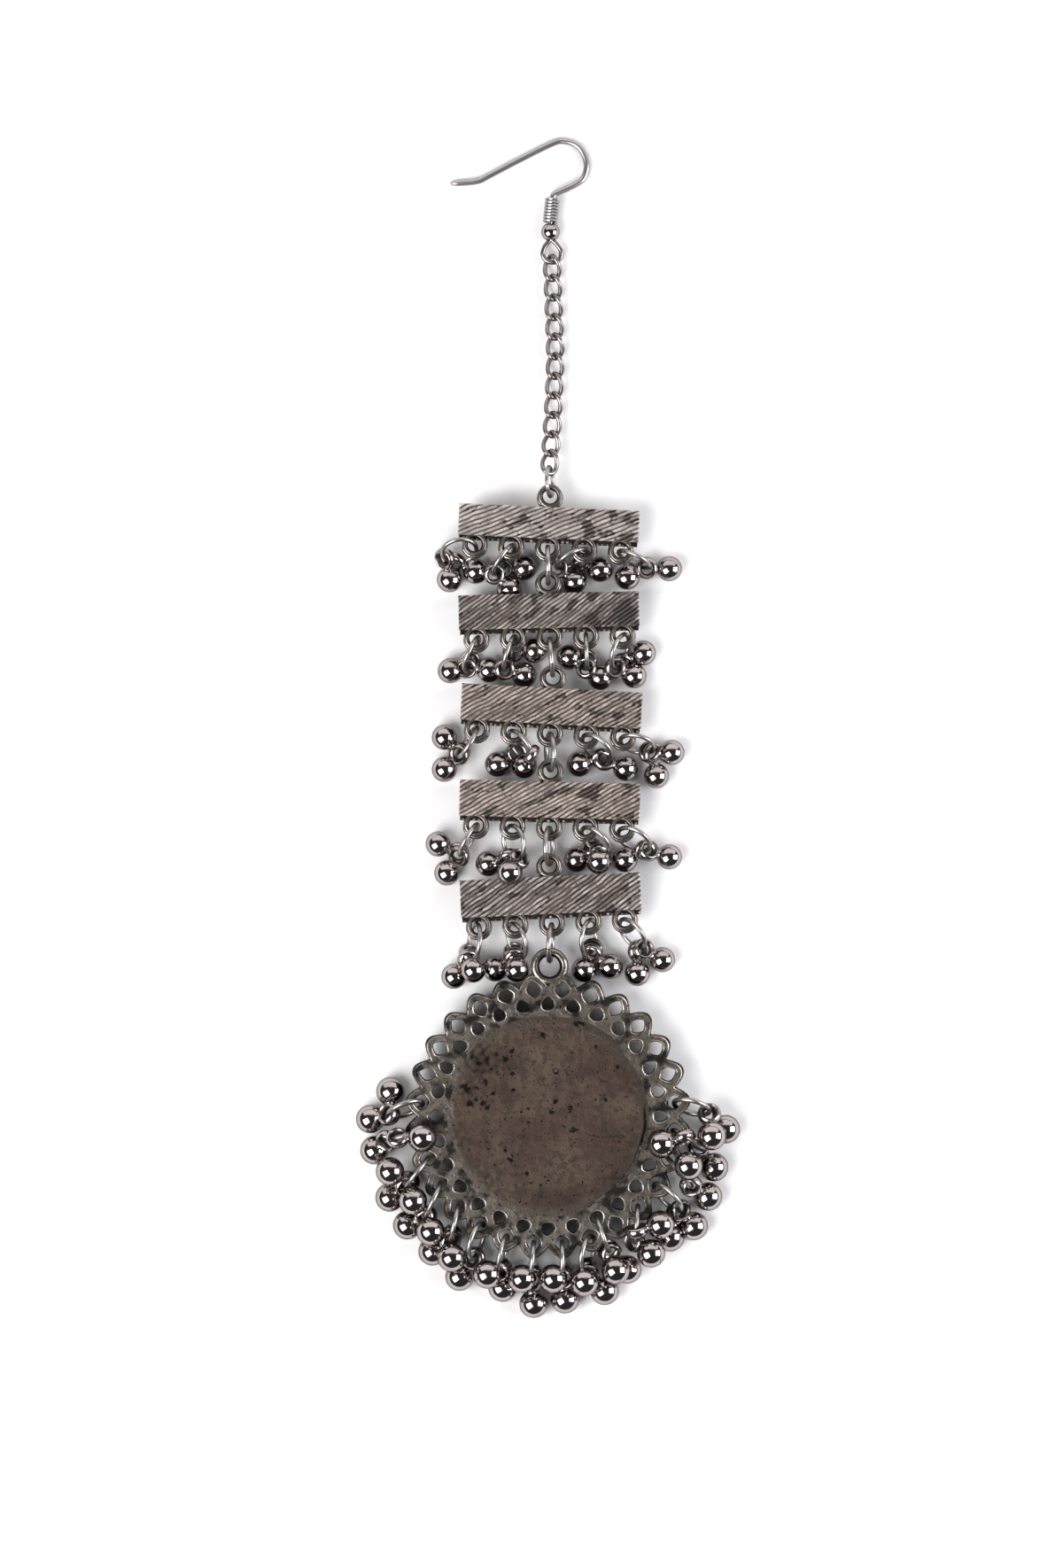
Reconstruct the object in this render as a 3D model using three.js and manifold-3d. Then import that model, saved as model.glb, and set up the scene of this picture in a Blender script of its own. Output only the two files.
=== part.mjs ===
// A maang tikka, a jewel worn on the parting of the hair, lying with its back up.
// Millimetres, +Z up. The drawing starts at the middle of the round pendant and +Y points to the hook.
// At the end the whole jewel is shifted so that its footprint is centred on the origin and it lies on z = 0.

import * as THREE from 'three';
import { mergeVertices } from 'three/addons/utils/BufferGeometryUtils.js';
import Module from 'manifold-3d';

const solids = await Module();
solids.setup();

// Corners nearer to each other than this are one corner
const WELD = 1e-5;

// Hook
const HOOK_WIRE = 0.7;
const EYE_WIRE = 0.54;
const HOOK_SIDES = 6;
const HOOK_STEPS = 24;
const EYE_STEPS = 12;
const COIL = { bore: 1.0, outside: 1.6, turns: 7, sides: 8, top: [0.42, 108.8], bottom: [0.22, 105.95] };
const BEAD = { bore: 1.3, outside: 2.0, bands: 5, middle: [0.3, 104.9] };
const STEM_HEIGHT = 1.02;

// Chain
const LINK = { count: 11, wire: 0.52, width: 2.5, length: 3.32, tilt: 45 };

// Edges shorter than this are closed up where solids meet
const SHORTEST_EDGE = 0.02;

// Jump rings, measured to the middle of their wire
const RING_SIDES = 10;
const WIRE_SIDES = 5;
const CHAIN_RING = { wire: 0.5, diameter: 3.5 };
const BAR_LINK = { wire: 0.6, diameter: 4.3 };
const SMALL_RING = { wire: 0.55, diameter: 4.1 };
const LARGE_RING = { wire: 0.6, diameter: 4.3 };

// Bells: the eye is what lets a bell sit a little nearer to its ring or further from it
const SMALL_BELL = { ball: 3.0, nearest: 2.4, furthest: 3.1 };
const LARGE_BELL = { ball: 3.4, nearest: 2.6, furthest: 3.35 };
// A faceted ball has a straight waist; its radius and half height are shares of the ball's radius
const BALL = { sides: 10, waist: 0.93, band: 0.36 };
// Degrees round a jump ring: least between its two eyes, furthest from its far side, and one step of the search
const EYES = { spacing: 20, reach: 120, step: 2, farSideWeight: 0.005 };

// How far solids that are soldered to each other run into one another
const SOLDER = 0.1;

// Bars: a back plate with a narrower plain body in front, which is the side that lies down
const BAR = { length: 21.4, plateTop: 4.0, plateBottom: 3.05, bodyInset: 1.1 };
const LOOP = {
  outside: 3.0, hole: 1.75, thickness: 0.6, sides: 8, height: 3.5, rise: 1.25, drop: 1.05, spacing: 4.33,
};

// Pendant
const PENDANT = {
  borderTop: 4.15, borderBottom: 3.2, bossRadius: 11.9,
  tipRadius: 16.85, tipAngle: 1.7, valleyRadius: 15.6, repeats: 28,
};
// Openings. Corners: across and outward, as shares of the half width and half length
const OUTER_HOLE = {
  radius: 15.07, width: 1.75, length: 1.95, corners: [[0, 1], [1, 0.05], [0, -1], [-1, 0.05]],
};
const INNER_HOLE = {
  radius: 13.3, width: 1.5, length: 1.55, corners: [[0, 1], [1, -0.1], [0.55, -1], [-0.55, -1], [-1, -0.1]],
};
const PENDANT_RING = { middle: [0.18, 17.75], outside: 4.5, hole: 2.4, thickness: 0.9, height: 3.7, sides: 16 };
// The last jump ring bears on the upper edge of the pendant ring's hole
const PENDANT_HOLD = [0.18, 18.2];

// Route of the hook's wire, from the free tip to the bead. Columns: x, y, z
const HOOK_ROUTE = [
  [-11.3, 110.7, 0.42],
  [-9.6, 110.8, 0.38],
  [-8.2, 111.0, 0.38],
  [-7.0, 111.6, 0.38],
  [-3.0, 113.7, 0.38],
  [0.7, 115.5, 0.38],
  [1.9, 115.7, 0.38],
  [3.1, 115.4, 0.4],
  [4.0, 114.6, 0.45],
  [4.6, 112.9, 0.55],
  [4.2, 111.3, 0.65],
  [3.1, 110.5, 0.8],
  [1.5, 109.9, 0.95],
  [0.55, 109.3, STEM_HEIGHT],
  [0.38, 108.3, STEM_HEIGHT],
  [0.24, 106.4, STEM_HEIGHT],
  [0.3, 104.9, STEM_HEIGHT],
  [0.36, 103.95, STEM_HEIGHT],
];

// Route of the teardrop eye that the same wire ends in, under the bead. Columns: x, y
const EYE_ROUTE = [
  [0.36, 104.05],
  [0.95, 103.55],
  [1.5, 102.75],
  [1.5, 101.9],
  [0.95, 101.35],
  [0.3, 101.3],
  [-0.3, 101.6],
  [-0.62, 102.3],
  [-0.35, 103.2],
  [0.28, 104.05],
];

// Middle of the opening of the last link, where the ring to the first bar hangs
const CHAIN_END = [0.2, 76.95, 2.85];

// Middles of the first and last link and places between them. Columns: x, y, z
const CHAIN_ROUTE = [
  [0.5, 100.6, 1.1],
  [0.7, 95.6, 1.05],
  [0.85, 90.0, 1.05],
  [0.65, 84.5, 1.15],
  [0.4, 80.6, 1.6],
  [0.2, 77.5, 2.45],
];

// Columns: middle of the bar x, y; height of the plate; tilt in degrees, counter-clockwise
const BARS = [
  { x: 0.1, y: 70.3, height: 3.75, tilt: 2.5 },
  { x: 0.1, y: 59.9, height: 4.1, tilt: -1.4 },
  { x: 0.4, y: 48.6, height: 4.3, tilt: 3.0 },
  { x: 0.2, y: 37.5, height: 4.3, tilt: 1.4 },
  { x: 0.3, y: 26.2, height: 4.45, tilt: -2.7 },
];

// Drops of the bars. Columns: bar; loop, counted from the middle; where the far side of the jump ring points;
// lean of the ring from upright in degrees; where the middles of its two bells lie
const BAR_DROPS = [
  { bar: 1, loop: -2, towards: [-12.5, 66.2, 2.4], lean: 40, bells: [[-11.7, 63.6, 1.5], [-8.6, 64.6, 1.5]] },
  { bar: 1, loop: -1, towards: [-5.6, 65.3, 2.1], lean: 15, bells: [[-4.6, 62.5, 1.5], [-2.8, 65.0, 1.5]] },
  { bar: 1, loop: 1, towards: [1.8, 65.3, 2.0], lean: 20, bells: [[3.1, 63.4, 1.5], [6.2, 64.8, 1.5]] },
  { bar: 1, loop: 2, towards: [11.7, 65.1, 2.0], lean: -15, bells: [[14.4, 64.9, 1.5], [9.4, 63.9, 1.5]] },
  { bar: 2, loop: -2, towards: [-9.6, 53.5, 1.8], lean: 10, bells: [[-11.6, 52.8, 1.5], [-7.0, 52.9, 1.5]] },
  { bar: 2, loop: -1, towards: [-4.9, 53.5, 1.8], lean: 10, bells: [[-2.8, 52.3, 1.5], [-1.6, 55.2, 1.5]] },
  { bar: 2, loop: 1, towards: [4.6, 53.6, 1.8], lean: 0, bells: [[6.2, 52.0, 1.5], [2.5, 54.4, 1.5]] },
  { bar: 2, loop: 2, towards: [8.3, 53.2, 1.9], lean: 26, bells: [[11.3, 54.9, 1.5], [10.2, 52.2, 1.5]] },
  { bar: 3, loop: -2, towards: [-10.6, 42.8, 1.9], lean: -10, bells: [[-12.3, 44.9, 1.5], [-12.3, 41.1, 1.5]] },
  { bar: 3, loop: -1, towards: [-2.7, 42.7, 2.1], lean: -26, bells: [[-2.8, 41.5, 1.5], [-6.0, 41.7, 1.5]] },
  { bar: 3, loop: 1, towards: [7.2, 42.0, 2.0], lean: -31, bells: [[9.2, 41.2, 1.5], [3.7, 41.7, 1.5]] },
  { bar: 3, loop: 2, towards: [12.2, 43.3, 2.0], lean: -30, bells: [[14.7, 43.1, 1.5], [12.9, 40.1, 1.5]] },
  { bar: 4, loop: -2, towards: [-10.6, 30.3, 1.9], lean: 10, bells: [[-13.4, 32.4, 1.5], [-12.0, 28.8, 1.5]] },
  { bar: 4, loop: -1, towards: [-3.9, 30.4, 3.0], lean: -35, bells: [[-4.5, 28.9, 5.7], [-7.1, 29.9, 1.5]] },
  { bar: 4, loop: 1, towards: [6.9, 31.0, 2.2], lean: -30, bells: [[6.0, 30.2, 3.1], [3.4, 30.4, 1.5]] },
  { bar: 4, loop: 2, towards: [11.9, 31.2, 2.0], lean: -35, bells: [[14.4, 30.7, 1.5], [9.2, 30.4, 1.5]] },
  { bar: 5, loop: -2, towards: [-9.1, 19.3, 2.0], lean: -20, bells: [[-8.9, 17.3, 3.2], [-11.2, 16.5, 1.5]] },
  { bar: 5, loop: -1, towards: [-3.5, 18.9, 1.9], lean: -30, bells: [[-3.7, 17.4, 3.0], [-6.3, 17.4, 1.5]] },
  { bar: 5, loop: 1, towards: [4.9, 19.3, 2.0], lean: 26, bells: [[4.3, 17.3, 1.5], [7.4, 17.7, 1.5]] },
  { bar: 5, loop: 2, towards: [11.0, 19.7, 2.0], lean: -30, bells: [[13.6, 18.5, 1.5], [10.6, 16.7, 1.5]] },
];

// Drops of the pendant. Columns: opening, counted clockwise from the top in its own row; where the far side of
// the jump ring points; lean of the ring from upright in degrees; where the middles of its two bells lie
const PENDANT_DROPS = [
  { row: 'outer', hole: 6, towards: [18.7, 0.6, 3.4], lean: -22, bells: [[19.4, -2.7, 5.6], [21.1, -1.6, 1.7]] },
  { row: 'outer', hole: 7, towards: [18.6, -4.2, 2.0], lean: -8, bells: [[13.4, -3.2, 5.9], [19.7, -6.1, 1.7]] },
  { row: 'outer', hole: 8, towards: [16.9, -8.2, 3.2], lean: 0, bells: [[16.6, -5.8, 5.8], [19.0, -9.6, 1.7]] },
  { row: 'outer', hole: 9, towards: [15.6, -11.2, 3.0], lean: -20, bells: [[14.3, -15.3, 1.7], [17.3, -13.1, 1.7]] },
  { row: 'outer', hole: 10, towards: [10.3, -14.8, 3.0], lean: 0, bells: [[13.3, -12.8, 5.0], [12.2, -16.2, 4.5]] },
  { row: 'inner', hole: 12, towards: [7.2, -16.0, 3.2], lean: 0, bells: [[8.0, -18.2, 4.5], [10.4, -19.2, 1.7]] },
  { row: 'outer', hole: 12, towards: [4.5, -18.1, 3.0], lean: 20, bells: [[4.3, -19.6, 4.5], [7.0, -21.1, 1.7]] },
  { row: 'outer', hole: 13, towards: [1.7, -18.4, 3.0], lean: 0, bells: [[0.6, -19.2, 4.5], [2.0, -21.8, 1.7]] },
  { row: 'outer', hole: 14, towards: [-2.0, -18.4, 3.0], lean: 0, bells: [[-3.1, -19.2, 4.5], [-1.7, -22.4, 1.7]] },
  { row: 'outer', hole: 15, towards: [-5.6, -17.9, 3.0], lean: 10, bells: [[-7.2, -18.7, 4.5], [-5.4, -20.4, 1.7]] },
  { row: 'outer', hole: 16, towards: [-8.8, -16.3, 3.0], lean: 20, bells: [[-11.4, -16.7, 4.7], [-10.5, -19.1, 1.7]] },
  { row: 'outer', hole: 17, towards: [-11.4, -14.0, 3.0], lean: 0, bells: [[-13.9, -13.6, 4.6], [-13.7, -16.1, 1.7]] },
  { row: 'outer', hole: 18, towards: [-14.2, -11.2, 3.0], lean: 0, bells: [[-16.0, -10.0, 4.5], [-16.7, -13.0, 1.7]] },
  { row: 'outer', hole: 19, towards: [-16.4, -7.7, 3.0], lean: 0, bells: [[-18.7, -6.5, 4.5], [-18.8, -9.7, 1.7]] },
  { row: 'outer', hole: 20, towards: [-18.8, -2.8, 3.6], lean: 0, bells: [[-14.9, -2.5, 5.9], [-20.6, -4.1, 1.7]] },
  { row: 'outer', hole: 21, towards: [-18.6, 0.1, 3.0], lean: 20, bells: [[-18.7, 2.9, 1.7], [-21.1, -0.4, 1.7]] },
];

const polished = new THREE.MeshStandardMaterial({ color: 0xb9b5b0, roughness: 0.12, metalness: 1.0 });
const worn = new THREE.MeshStandardMaterial({ color: 0x8d857c, roughness: 0.3, metalness: 1.0 });
const oxidised = new THREE.MeshStandardMaterial({ color: 0x6f675f, roughness: 0.5, metalness: 0.9 });

/** Turns a closed three.js geometry into a solid that can be joined and cut. */
function solidOf(geometry) {
  const bare = geometry.index ? geometry.clone() : geometry;
  bare.deleteAttribute('normal');
  bare.deleteAttribute('uv');
  const welded = mergeVertices(bare, WELD);
  const index = welded.index.array;
  const corners = [];
  for (let i = 0; i < index.length; i += 3) {
    const [a, b, c] = [index[i], index[i + 1], index[i + 2]];
    if (a !== b && b !== c && c !== a) corners.push(a, b, c);
  }
  const points = welded.attributes.position;
  if (signedVolume(points, corners) < 0) corners.reverse();
  return new solids.Manifold(new solids.Mesh({
    numProp: 3,
    vertProperties: new Float32Array(points.array),
    triVerts: new Uint32Array(corners),
  }));
}

function signedVolume(points, corners) {
  const [a, b, c] = [new THREE.Vector3(), new THREE.Vector3(), new THREE.Vector3()];
  let sum = 0;
  for (let i = 0; i < corners.length; i += 3) {
    a.fromBufferAttribute(points, corners[i]);
    b.fromBufferAttribute(points, corners[i + 1]);
    c.fromBufferAttribute(points, corners[i + 2]);
    sum += a.dot(b.cross(c));
  }
  return sum / 6;
}

function geometryOf(solid) {
  const mesh = solid.getMesh();
  const geometry = new THREE.BufferGeometry();
  geometry.setAttribute('position', new THREE.BufferAttribute(mesh.vertProperties, 3));
  geometry.setIndex(new THREE.BufferAttribute(mesh.triVerts, 1));
  return geometry;
}

/** Joins closed geometries that touch each other into one body. */
function fused(geometries) {
  const joined = geometries.map(solidOf).reduce((whole, next) => whole.add(next));
  return geometryOf(joined.simplify(SHORTEST_EDGE));
}

function vector(point) {
  return new THREE.Vector3(point[0], point[1], point[2] ?? 0);
}

/** A round wire along an open smooth line through the given points. */
function wireAlong(points, diameter, sides, steps) {
  const section = new THREE.Shape();
  for (let i = 0; i < sides; i += 1) {
    const angle = (2 * Math.PI * i) / sides;
    const place = [(diameter / 2) * Math.cos(angle), (diameter / 2) * Math.sin(angle)];
    if (i === 0) section.moveTo(...place);
    else section.lineTo(...place);
  }
  section.closePath();
  const line = new THREE.CatmullRomCurve3(points.map(vector));
  return new THREE.ExtrudeGeometry(section, { steps, extrudePath: line, bevelEnabled: false });
}

/** A turned ball whose shoulders run out into a tapered shank that reaches the given place. */
function bellGeometry(ball, hold, diameter) {
  const along = hold.clone().sub(ball);
  const radius = diameter / 2;
  const waist = radius * BALL.waist;
  const band = radius * BALL.band;
  const profile = [[0, -radius], [waist, -band], [waist, band], [0, along.length()]];
  const geometry = new THREE.LatheGeometry(profile.map(([x, y]) => new THREE.Vector2(x, y)), BALL.sides);
  geometry.applyQuaternion(new THREE.Quaternion().setFromUnitVectors(
    new THREE.Vector3(0, 1, 0), along.normalize()));
  return geometry.translate(ball.x, ball.y, ball.z);
}

/** A flat ring that lies level, with its middle at the given place. */
function flatRing(x, y, height, size) {
  const shape = new THREE.Shape();
  shape.absarc(0, 0, size.outside / 2, 0, 2 * Math.PI, false);
  const hole = new THREE.Path();
  hole.absarc(0, 0, size.hole / 2, 0, 2 * Math.PI, true);
  shape.holes.push(hole);
  const geometry = new THREE.ExtrudeGeometry(shape, {
    depth: size.thickness, bevelEnabled: false, curveSegments: size.sides / 2,
  });
  return geometry.translate(x, y, height - size.thickness / 2);
}

function block(length, width, bottom, top) {
  return new THREE.BoxGeometry(length, width, top - bottom).translate(0, 0, (bottom + top) / 2);
}

/** Where a jump ring lies: it hangs in one place, its far side points to another, and it leans to one side. */
function ringLayout(from, towards, lean, size) {
  const along = towards.clone().sub(from).normalize();
  const up = new THREE.Vector3(0, 0, 1);
  up.addScaledVector(along, -along.z).normalize();
  const aside = along.clone().cross(up);
  const angle = THREE.MathUtils.degToRad(lean);
  const across = up.multiplyScalar(Math.cos(angle)).addScaledVector(aside, Math.sin(angle));
  const middle = from.clone().addScaledVector(along, size.diameter / 2);
  return { middle, along, across, radius: size.diameter / 2, wire: size.wire };
}

/** A point on the middle of the ring's wire, turned in degrees from its far side. */
function pointOnRing(ring, turn) {
  const angle = THREE.MathUtils.degToRad(turn);
  return ring.middle.clone()
    .addScaledVector(ring.along, ring.radius * Math.cos(angle))
    .addScaledVector(ring.across, ring.radius * Math.sin(angle));
}

function ringGeometry(ring) {
  const geometry = new THREE.TorusGeometry(ring.radius, ring.wire / 2, WIRE_SIDES, RING_SIDES);
  const axis = ring.along.clone().cross(ring.across);
  const frame = new THREE.Matrix4().makeBasis(ring.along, ring.across, axis);
  frame.setPosition(ring.middle);
  return geometry.applyMatrix4(frame);
}

/** Where a bell hangs on its ring: as near the far side as the length of its eye allows. */
function bellLayout(ring, aim, bell, taken) {
  const wanted = (bell.nearest + bell.furthest) / 2;
  let best = null;
  for (let turn = -EYES.reach; turn <= EYES.reach; turn += EYES.step) {
    if (taken !== null && Math.abs(turn - taken) < EYES.spacing) continue;
    const hold = pointOnRing(ring, turn);
    const misfit = Math.abs(hold.distanceTo(aim) - wanted) + Math.abs(turn) * EYES.farSideWeight;
    if (best === null || misfit < best.misfit) best = { turn, hold, misfit };
  }
  const direction = aim.clone().sub(best.hold);
  const reach = THREE.MathUtils.clamp(direction.length(), bell.nearest, bell.furthest);
  const ball = best.hold.clone().addScaledVector(direction.normalize(), reach);
  return { turn: best.turn, hold: best.hold, ball };
}

/** A jump ring with its two bells, which hang in the ring by their eyes. */
function dropGeometry(from, drop, ringSize, bell) {
  const ring = ringLayout(from, vector(drop.towards), drop.lean, ringSize);
  const pieces = [ringGeometry(ring)];
  let taken = null;
  for (const aim of drop.bells) {
    const place = bellLayout(ring, vector(aim), bell, taken);
    taken = place.turn;
    pieces.push(bellGeometry(place.ball, place.hold, bell.ball));
  }
  return fused(pieces);
}

/** The hook's wire with the teardrop eye at its end. */
function hookGeometry() {
  const eye = EYE_ROUTE.map(([x, y]) => [x, y, STEM_HEIGHT]);
  return fused([
    wireAlong(HOOK_ROUTE, HOOK_WIRE, HOOK_SIDES, HOOK_STEPS),
    wireAlong(eye, EYE_WIRE, WIRE_SIDES, EYE_STEPS),
  ]);
}

/** The fine wire wound round the stem: a sleeve with one rib for each turn. */
function coilGeometry() {
  const top = vector([...COIL.top, STEM_HEIGHT]);
  const bottom = vector([...COIL.bottom, STEM_HEIGHT]);
  const length = top.distanceTo(bottom);
  const pitch = length / COIL.turns;
  const profile = [new THREE.Vector2(COIL.bore / 2, -length / 2)];
  for (let i = 0; i < COIL.turns; i += 1) {
    const start = i * pitch - length / 2;
    profile.push(new THREE.Vector2(COIL.outside / 2 - pitch / 3, start));
    profile.push(new THREE.Vector2(COIL.outside / 2, start + pitch / 2));
  }
  profile.push(new THREE.Vector2(COIL.outside / 2 - pitch / 3, length / 2));
  profile.push(new THREE.Vector2(COIL.bore / 2, length / 2));
  profile.push(profile[0].clone());
  const geometry = new THREE.LatheGeometry(profile, COIL.sides);
  geometry.rotateZ(-Math.atan2(top.x - bottom.x, top.y - bottom.y));
  const middle = top.add(bottom).multiplyScalar(0.5);
  return geometryOf(solidOf(geometry.translate(middle.x, middle.y, middle.z)));
}

/** The bead under the coil, drilled for the stem. */
function beadGeometry() {
  const radius = BEAD.outside / 2;
  const edge = Math.asin(BEAD.bore / BEAD.outside);
  const profile = [];
  for (let i = 0; i <= BEAD.bands; i += 1) {
    const angle = Math.PI - edge - (i / BEAD.bands) * (Math.PI - 2 * edge);
    profile.push(new THREE.Vector2(radius * Math.sin(angle), radius * Math.cos(angle)));
  }
  profile.push(profile[0].clone());
  const geometry = new THREE.LatheGeometry(profile, BALL.sides);
  return geometryOf(solidOf(geometry.translate(BEAD.middle[0], BEAD.middle[1], STEM_HEIGHT)));
}

/** The chain: oval links that lean to either side in turn, each held by the link before it. */
function chainGeometry() {
  const route = new THREE.CatmullRomCurve3(CHAIN_ROUTE.map(vector));
  const radius = (LINK.width - LINK.wire) / 2;
  const straight = (LINK.length - LINK.width) / 2;
  const links = [];
  for (let i = 0; i < LINK.count; i += 1) {
    const link = new THREE.TorusGeometry(radius, LINK.wire / 2, WIRE_SIDES, RING_SIDES);
    link.rotateZ(Math.PI / RING_SIDES);
    const points = link.attributes.position;
    for (let k = 0; k < points.count; k += 1) {
      points.setY(k, points.getY(k) + Math.sign(points.getY(k)) * straight);
    }
    const along = route.getTangentAt(i / (LINK.count - 1)).negate();
    const aside = along.clone().cross(new THREE.Vector3(0, 0, 1)).normalize();
    const frame = new THREE.Matrix4().makeBasis(aside, along, aside.clone().cross(along));
    const lean = THREE.MathUtils.degToRad(i % 2 === 0 ? LINK.tilt : -LINK.tilt);
    link.applyMatrix4(new THREE.Matrix4().makeRotationY(lean));
    link.applyMatrix4(frame.setPosition(route.getPointAt(i / (LINK.count - 1))));
    links.push(link);
  }
  return fused(links);
}

/** Middle of one of a bar's loops: 'top' is the single upper one, and numbers count the lower ones. */
function loopPlace(bar, loop) {
  const place = loop === 'top'
    ? new THREE.Vector3(0, bar.height / 2 + LOOP.rise, LOOP.height)
    : new THREE.Vector3(loop * LOOP.spacing, -bar.height / 2 - LOOP.drop, LOOP.height);
  place.applyAxisAngle(new THREE.Vector3(0, 0, 1), THREE.MathUtils.degToRad(bar.tilt));
  return place.add(new THREE.Vector3(bar.x, bar.y, 0));
}

/** A bar: back plate, plain front body and six soldered loops. */
function barGeometry(bar) {
  const pieces = [
    block(BAR.length, bar.height, BAR.plateBottom, BAR.plateTop),
    block(BAR.length - 2 * BAR.bodyInset, bar.height - 2 * BAR.bodyInset, 0, BAR.plateBottom + SOLDER),
    flatRing(0, bar.height / 2 + LOOP.rise, LOOP.height, LOOP),
  ];
  for (let loop = -2; loop <= 2; loop += 1) {
    pieces.push(flatRing(loop * LOOP.spacing, -bar.height / 2 - LOOP.drop, LOOP.height, LOOP));
  }
  return fused(pieces).rotateZ(THREE.MathUtils.degToRad(bar.tilt)).translate(bar.x, bar.y, 0);
}

/** A place given by its distance from the pendant's middle and its angle clockwise from the top. */
function clockPlace(radius, degrees) {
  const angle = THREE.MathUtils.degToRad(degrees);
  return new THREE.Vector2(radius * Math.sin(angle), radius * Math.cos(angle));
}

function openingPlace(row, number) {
  const step = 360 / PENDANT.repeats;
  return row === 'outer'
    ? clockPlace(OUTER_HOLE.radius, (number + 0.5) * step)
    : clockPlace(INNER_HOLE.radius, number * step);
}

/** One opening of a row, turned clockwise from the top. */
function opening(hole, degrees) {
  const turn = -THREE.MathUtils.degToRad(degrees);
  const points = hole.corners.map(([across, outward]) => new THREE.Vector2(
    (across * hole.width) / 2, hole.radius + (outward * hole.length) / 2,
  ).rotateAround(new THREE.Vector2(0, 0), turn));
  return new THREE.Path(points);
}

/** The pierced border: scalloped edge, an outer row of diamond openings and an inner row of five-sided ones. */
function borderGeometry() {
  const step = 360 / PENDANT.repeats;
  const edge = [];
  const openings = [];
  for (let i = 0; i < PENDANT.repeats; i += 1) {
    const tip = (i + 0.5) * step;
    edge.push(clockPlace(PENDANT.valleyRadius, i * step));
    edge.push(clockPlace(PENDANT.tipRadius, tip - PENDANT.tipAngle));
    edge.push(clockPlace(PENDANT.tipRadius, tip + PENDANT.tipAngle));
    openings.push(opening(OUTER_HOLE, tip));
    openings.push(opening(INNER_HOLE, i * step));
  }
  const shape = new THREE.Shape(edge.reverse());
  shape.holes.push(...openings);
  const depth = PENDANT.borderTop - PENDANT.borderBottom;
  return new THREE.ExtrudeGeometry(shape, { depth, bevelEnabled: false }).translate(0, 0, PENDANT.borderBottom);
}

/** An upright round plate with as many sides as the border has repeats. */
function roundPlate(radius, bottom, top) {
  const plate = new THREE.CylinderGeometry(radius, radius, top - bottom, PENDANT.repeats);
  return plate.rotateX(Math.PI / 2).translate(0, 0, (bottom + top) / 2);
}

/** The pendant: back plate with its pierced border, plain round front and the ring that it hangs by. */
function pendantGeometry() {
  return fused([
    borderGeometry(),
    roundPlate(PENDANT.bossRadius, 0, PENDANT.borderBottom + SOLDER),
    flatRing(...PENDANT_RING.middle, PENDANT_RING.height, PENDANT_RING),
  ]);
}

/** A jump ring whose middle lies halfway between the two loops that it joins. */
function linkBetween(first, second, size) {
  const along = second.clone().sub(first).normalize();
  const middle = first.clone().add(second).multiplyScalar(0.5);
  const start = middle.addScaledVector(along, -size.diameter / 2);
  return ringGeometry(ringLayout(start, start.clone().add(along), size.lean, size));
}

const tikka = new THREE.Group();

function addPiece(name, geometry, material) {
  const piece = new THREE.Mesh(geometry, material);
  piece.name = name;
  tikka.add(piece);
}

// How much each bar's own jump ring leans, from the top bar down
const LINK_LEANS = [0, 0, -12, 12, 6];

addPiece('hair_hook', hookGeometry(), polished);
addPiece('hook_coil', coilGeometry(), polished);
addPiece('hook_ball', beadGeometry(), polished);
addPiece('chain', chainGeometry(), worn);

const chainEnd = vector(CHAIN_END);
addPiece('chain_ring', linkBetween(chainEnd, loopPlace(BARS[0], 'top'), { ...CHAIN_RING, lean: 0 }), worn);

BARS.forEach((bar, index) => {
  addPiece(`bar_${index + 1}`, barGeometry(bar), oxidised);
  const next = index + 1 < BARS.length
    ? loopPlace(BARS[index + 1], 'top')
    : vector([...PENDANT_HOLD, PENDANT_RING.height]);
  const size = { ...BAR_LINK, lean: LINK_LEANS[index] };
  const link = linkBetween(loopPlace(bar, 0), next, size);
  addPiece(`bar_link_${index + 1}`, link, worn);
});

BARS.forEach((bar, index) => {
  const drops = BAR_DROPS.filter((drop) => drop.bar === index + 1);
  drops.forEach((drop, place) => {
    const geometry = dropGeometry(loopPlace(bar, drop.loop), drop, SMALL_RING, SMALL_BELL);
    addPiece(`bar_${index + 1}_drop_${place + 1}`, geometry, polished);
  });
});

addPiece('pendant', pendantGeometry(), oxidised);

PENDANT_DROPS.forEach((drop, index) => {
  const place = openingPlace(drop.row, drop.hole);
  const from = new THREE.Vector3(place.x, place.y, (PENDANT.borderTop + PENDANT.borderBottom) / 2);
  addPiece(`pendant_drop_${index + 1}`, dropGeometry(from, drop, LARGE_RING, LARGE_BELL), polished);
});

// Shift of the drawing to the middle of the footprint
const box = new THREE.Box3().setFromObject(tikka);
const middle = box.getCenter(new THREE.Vector3());
tikka.position.set(-middle.x, -middle.y, -box.min.z);

export default tikka;
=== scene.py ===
"""A maang tikka of oxidised and polished metal, laid with its back up: the look of every piece."""
import logging
import math
from dataclasses import dataclass, field
from enum import Enum
from typing import Callable, Iterable, Sequence

import bpy
from mathutils import Matrix, Vector, noise


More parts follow.
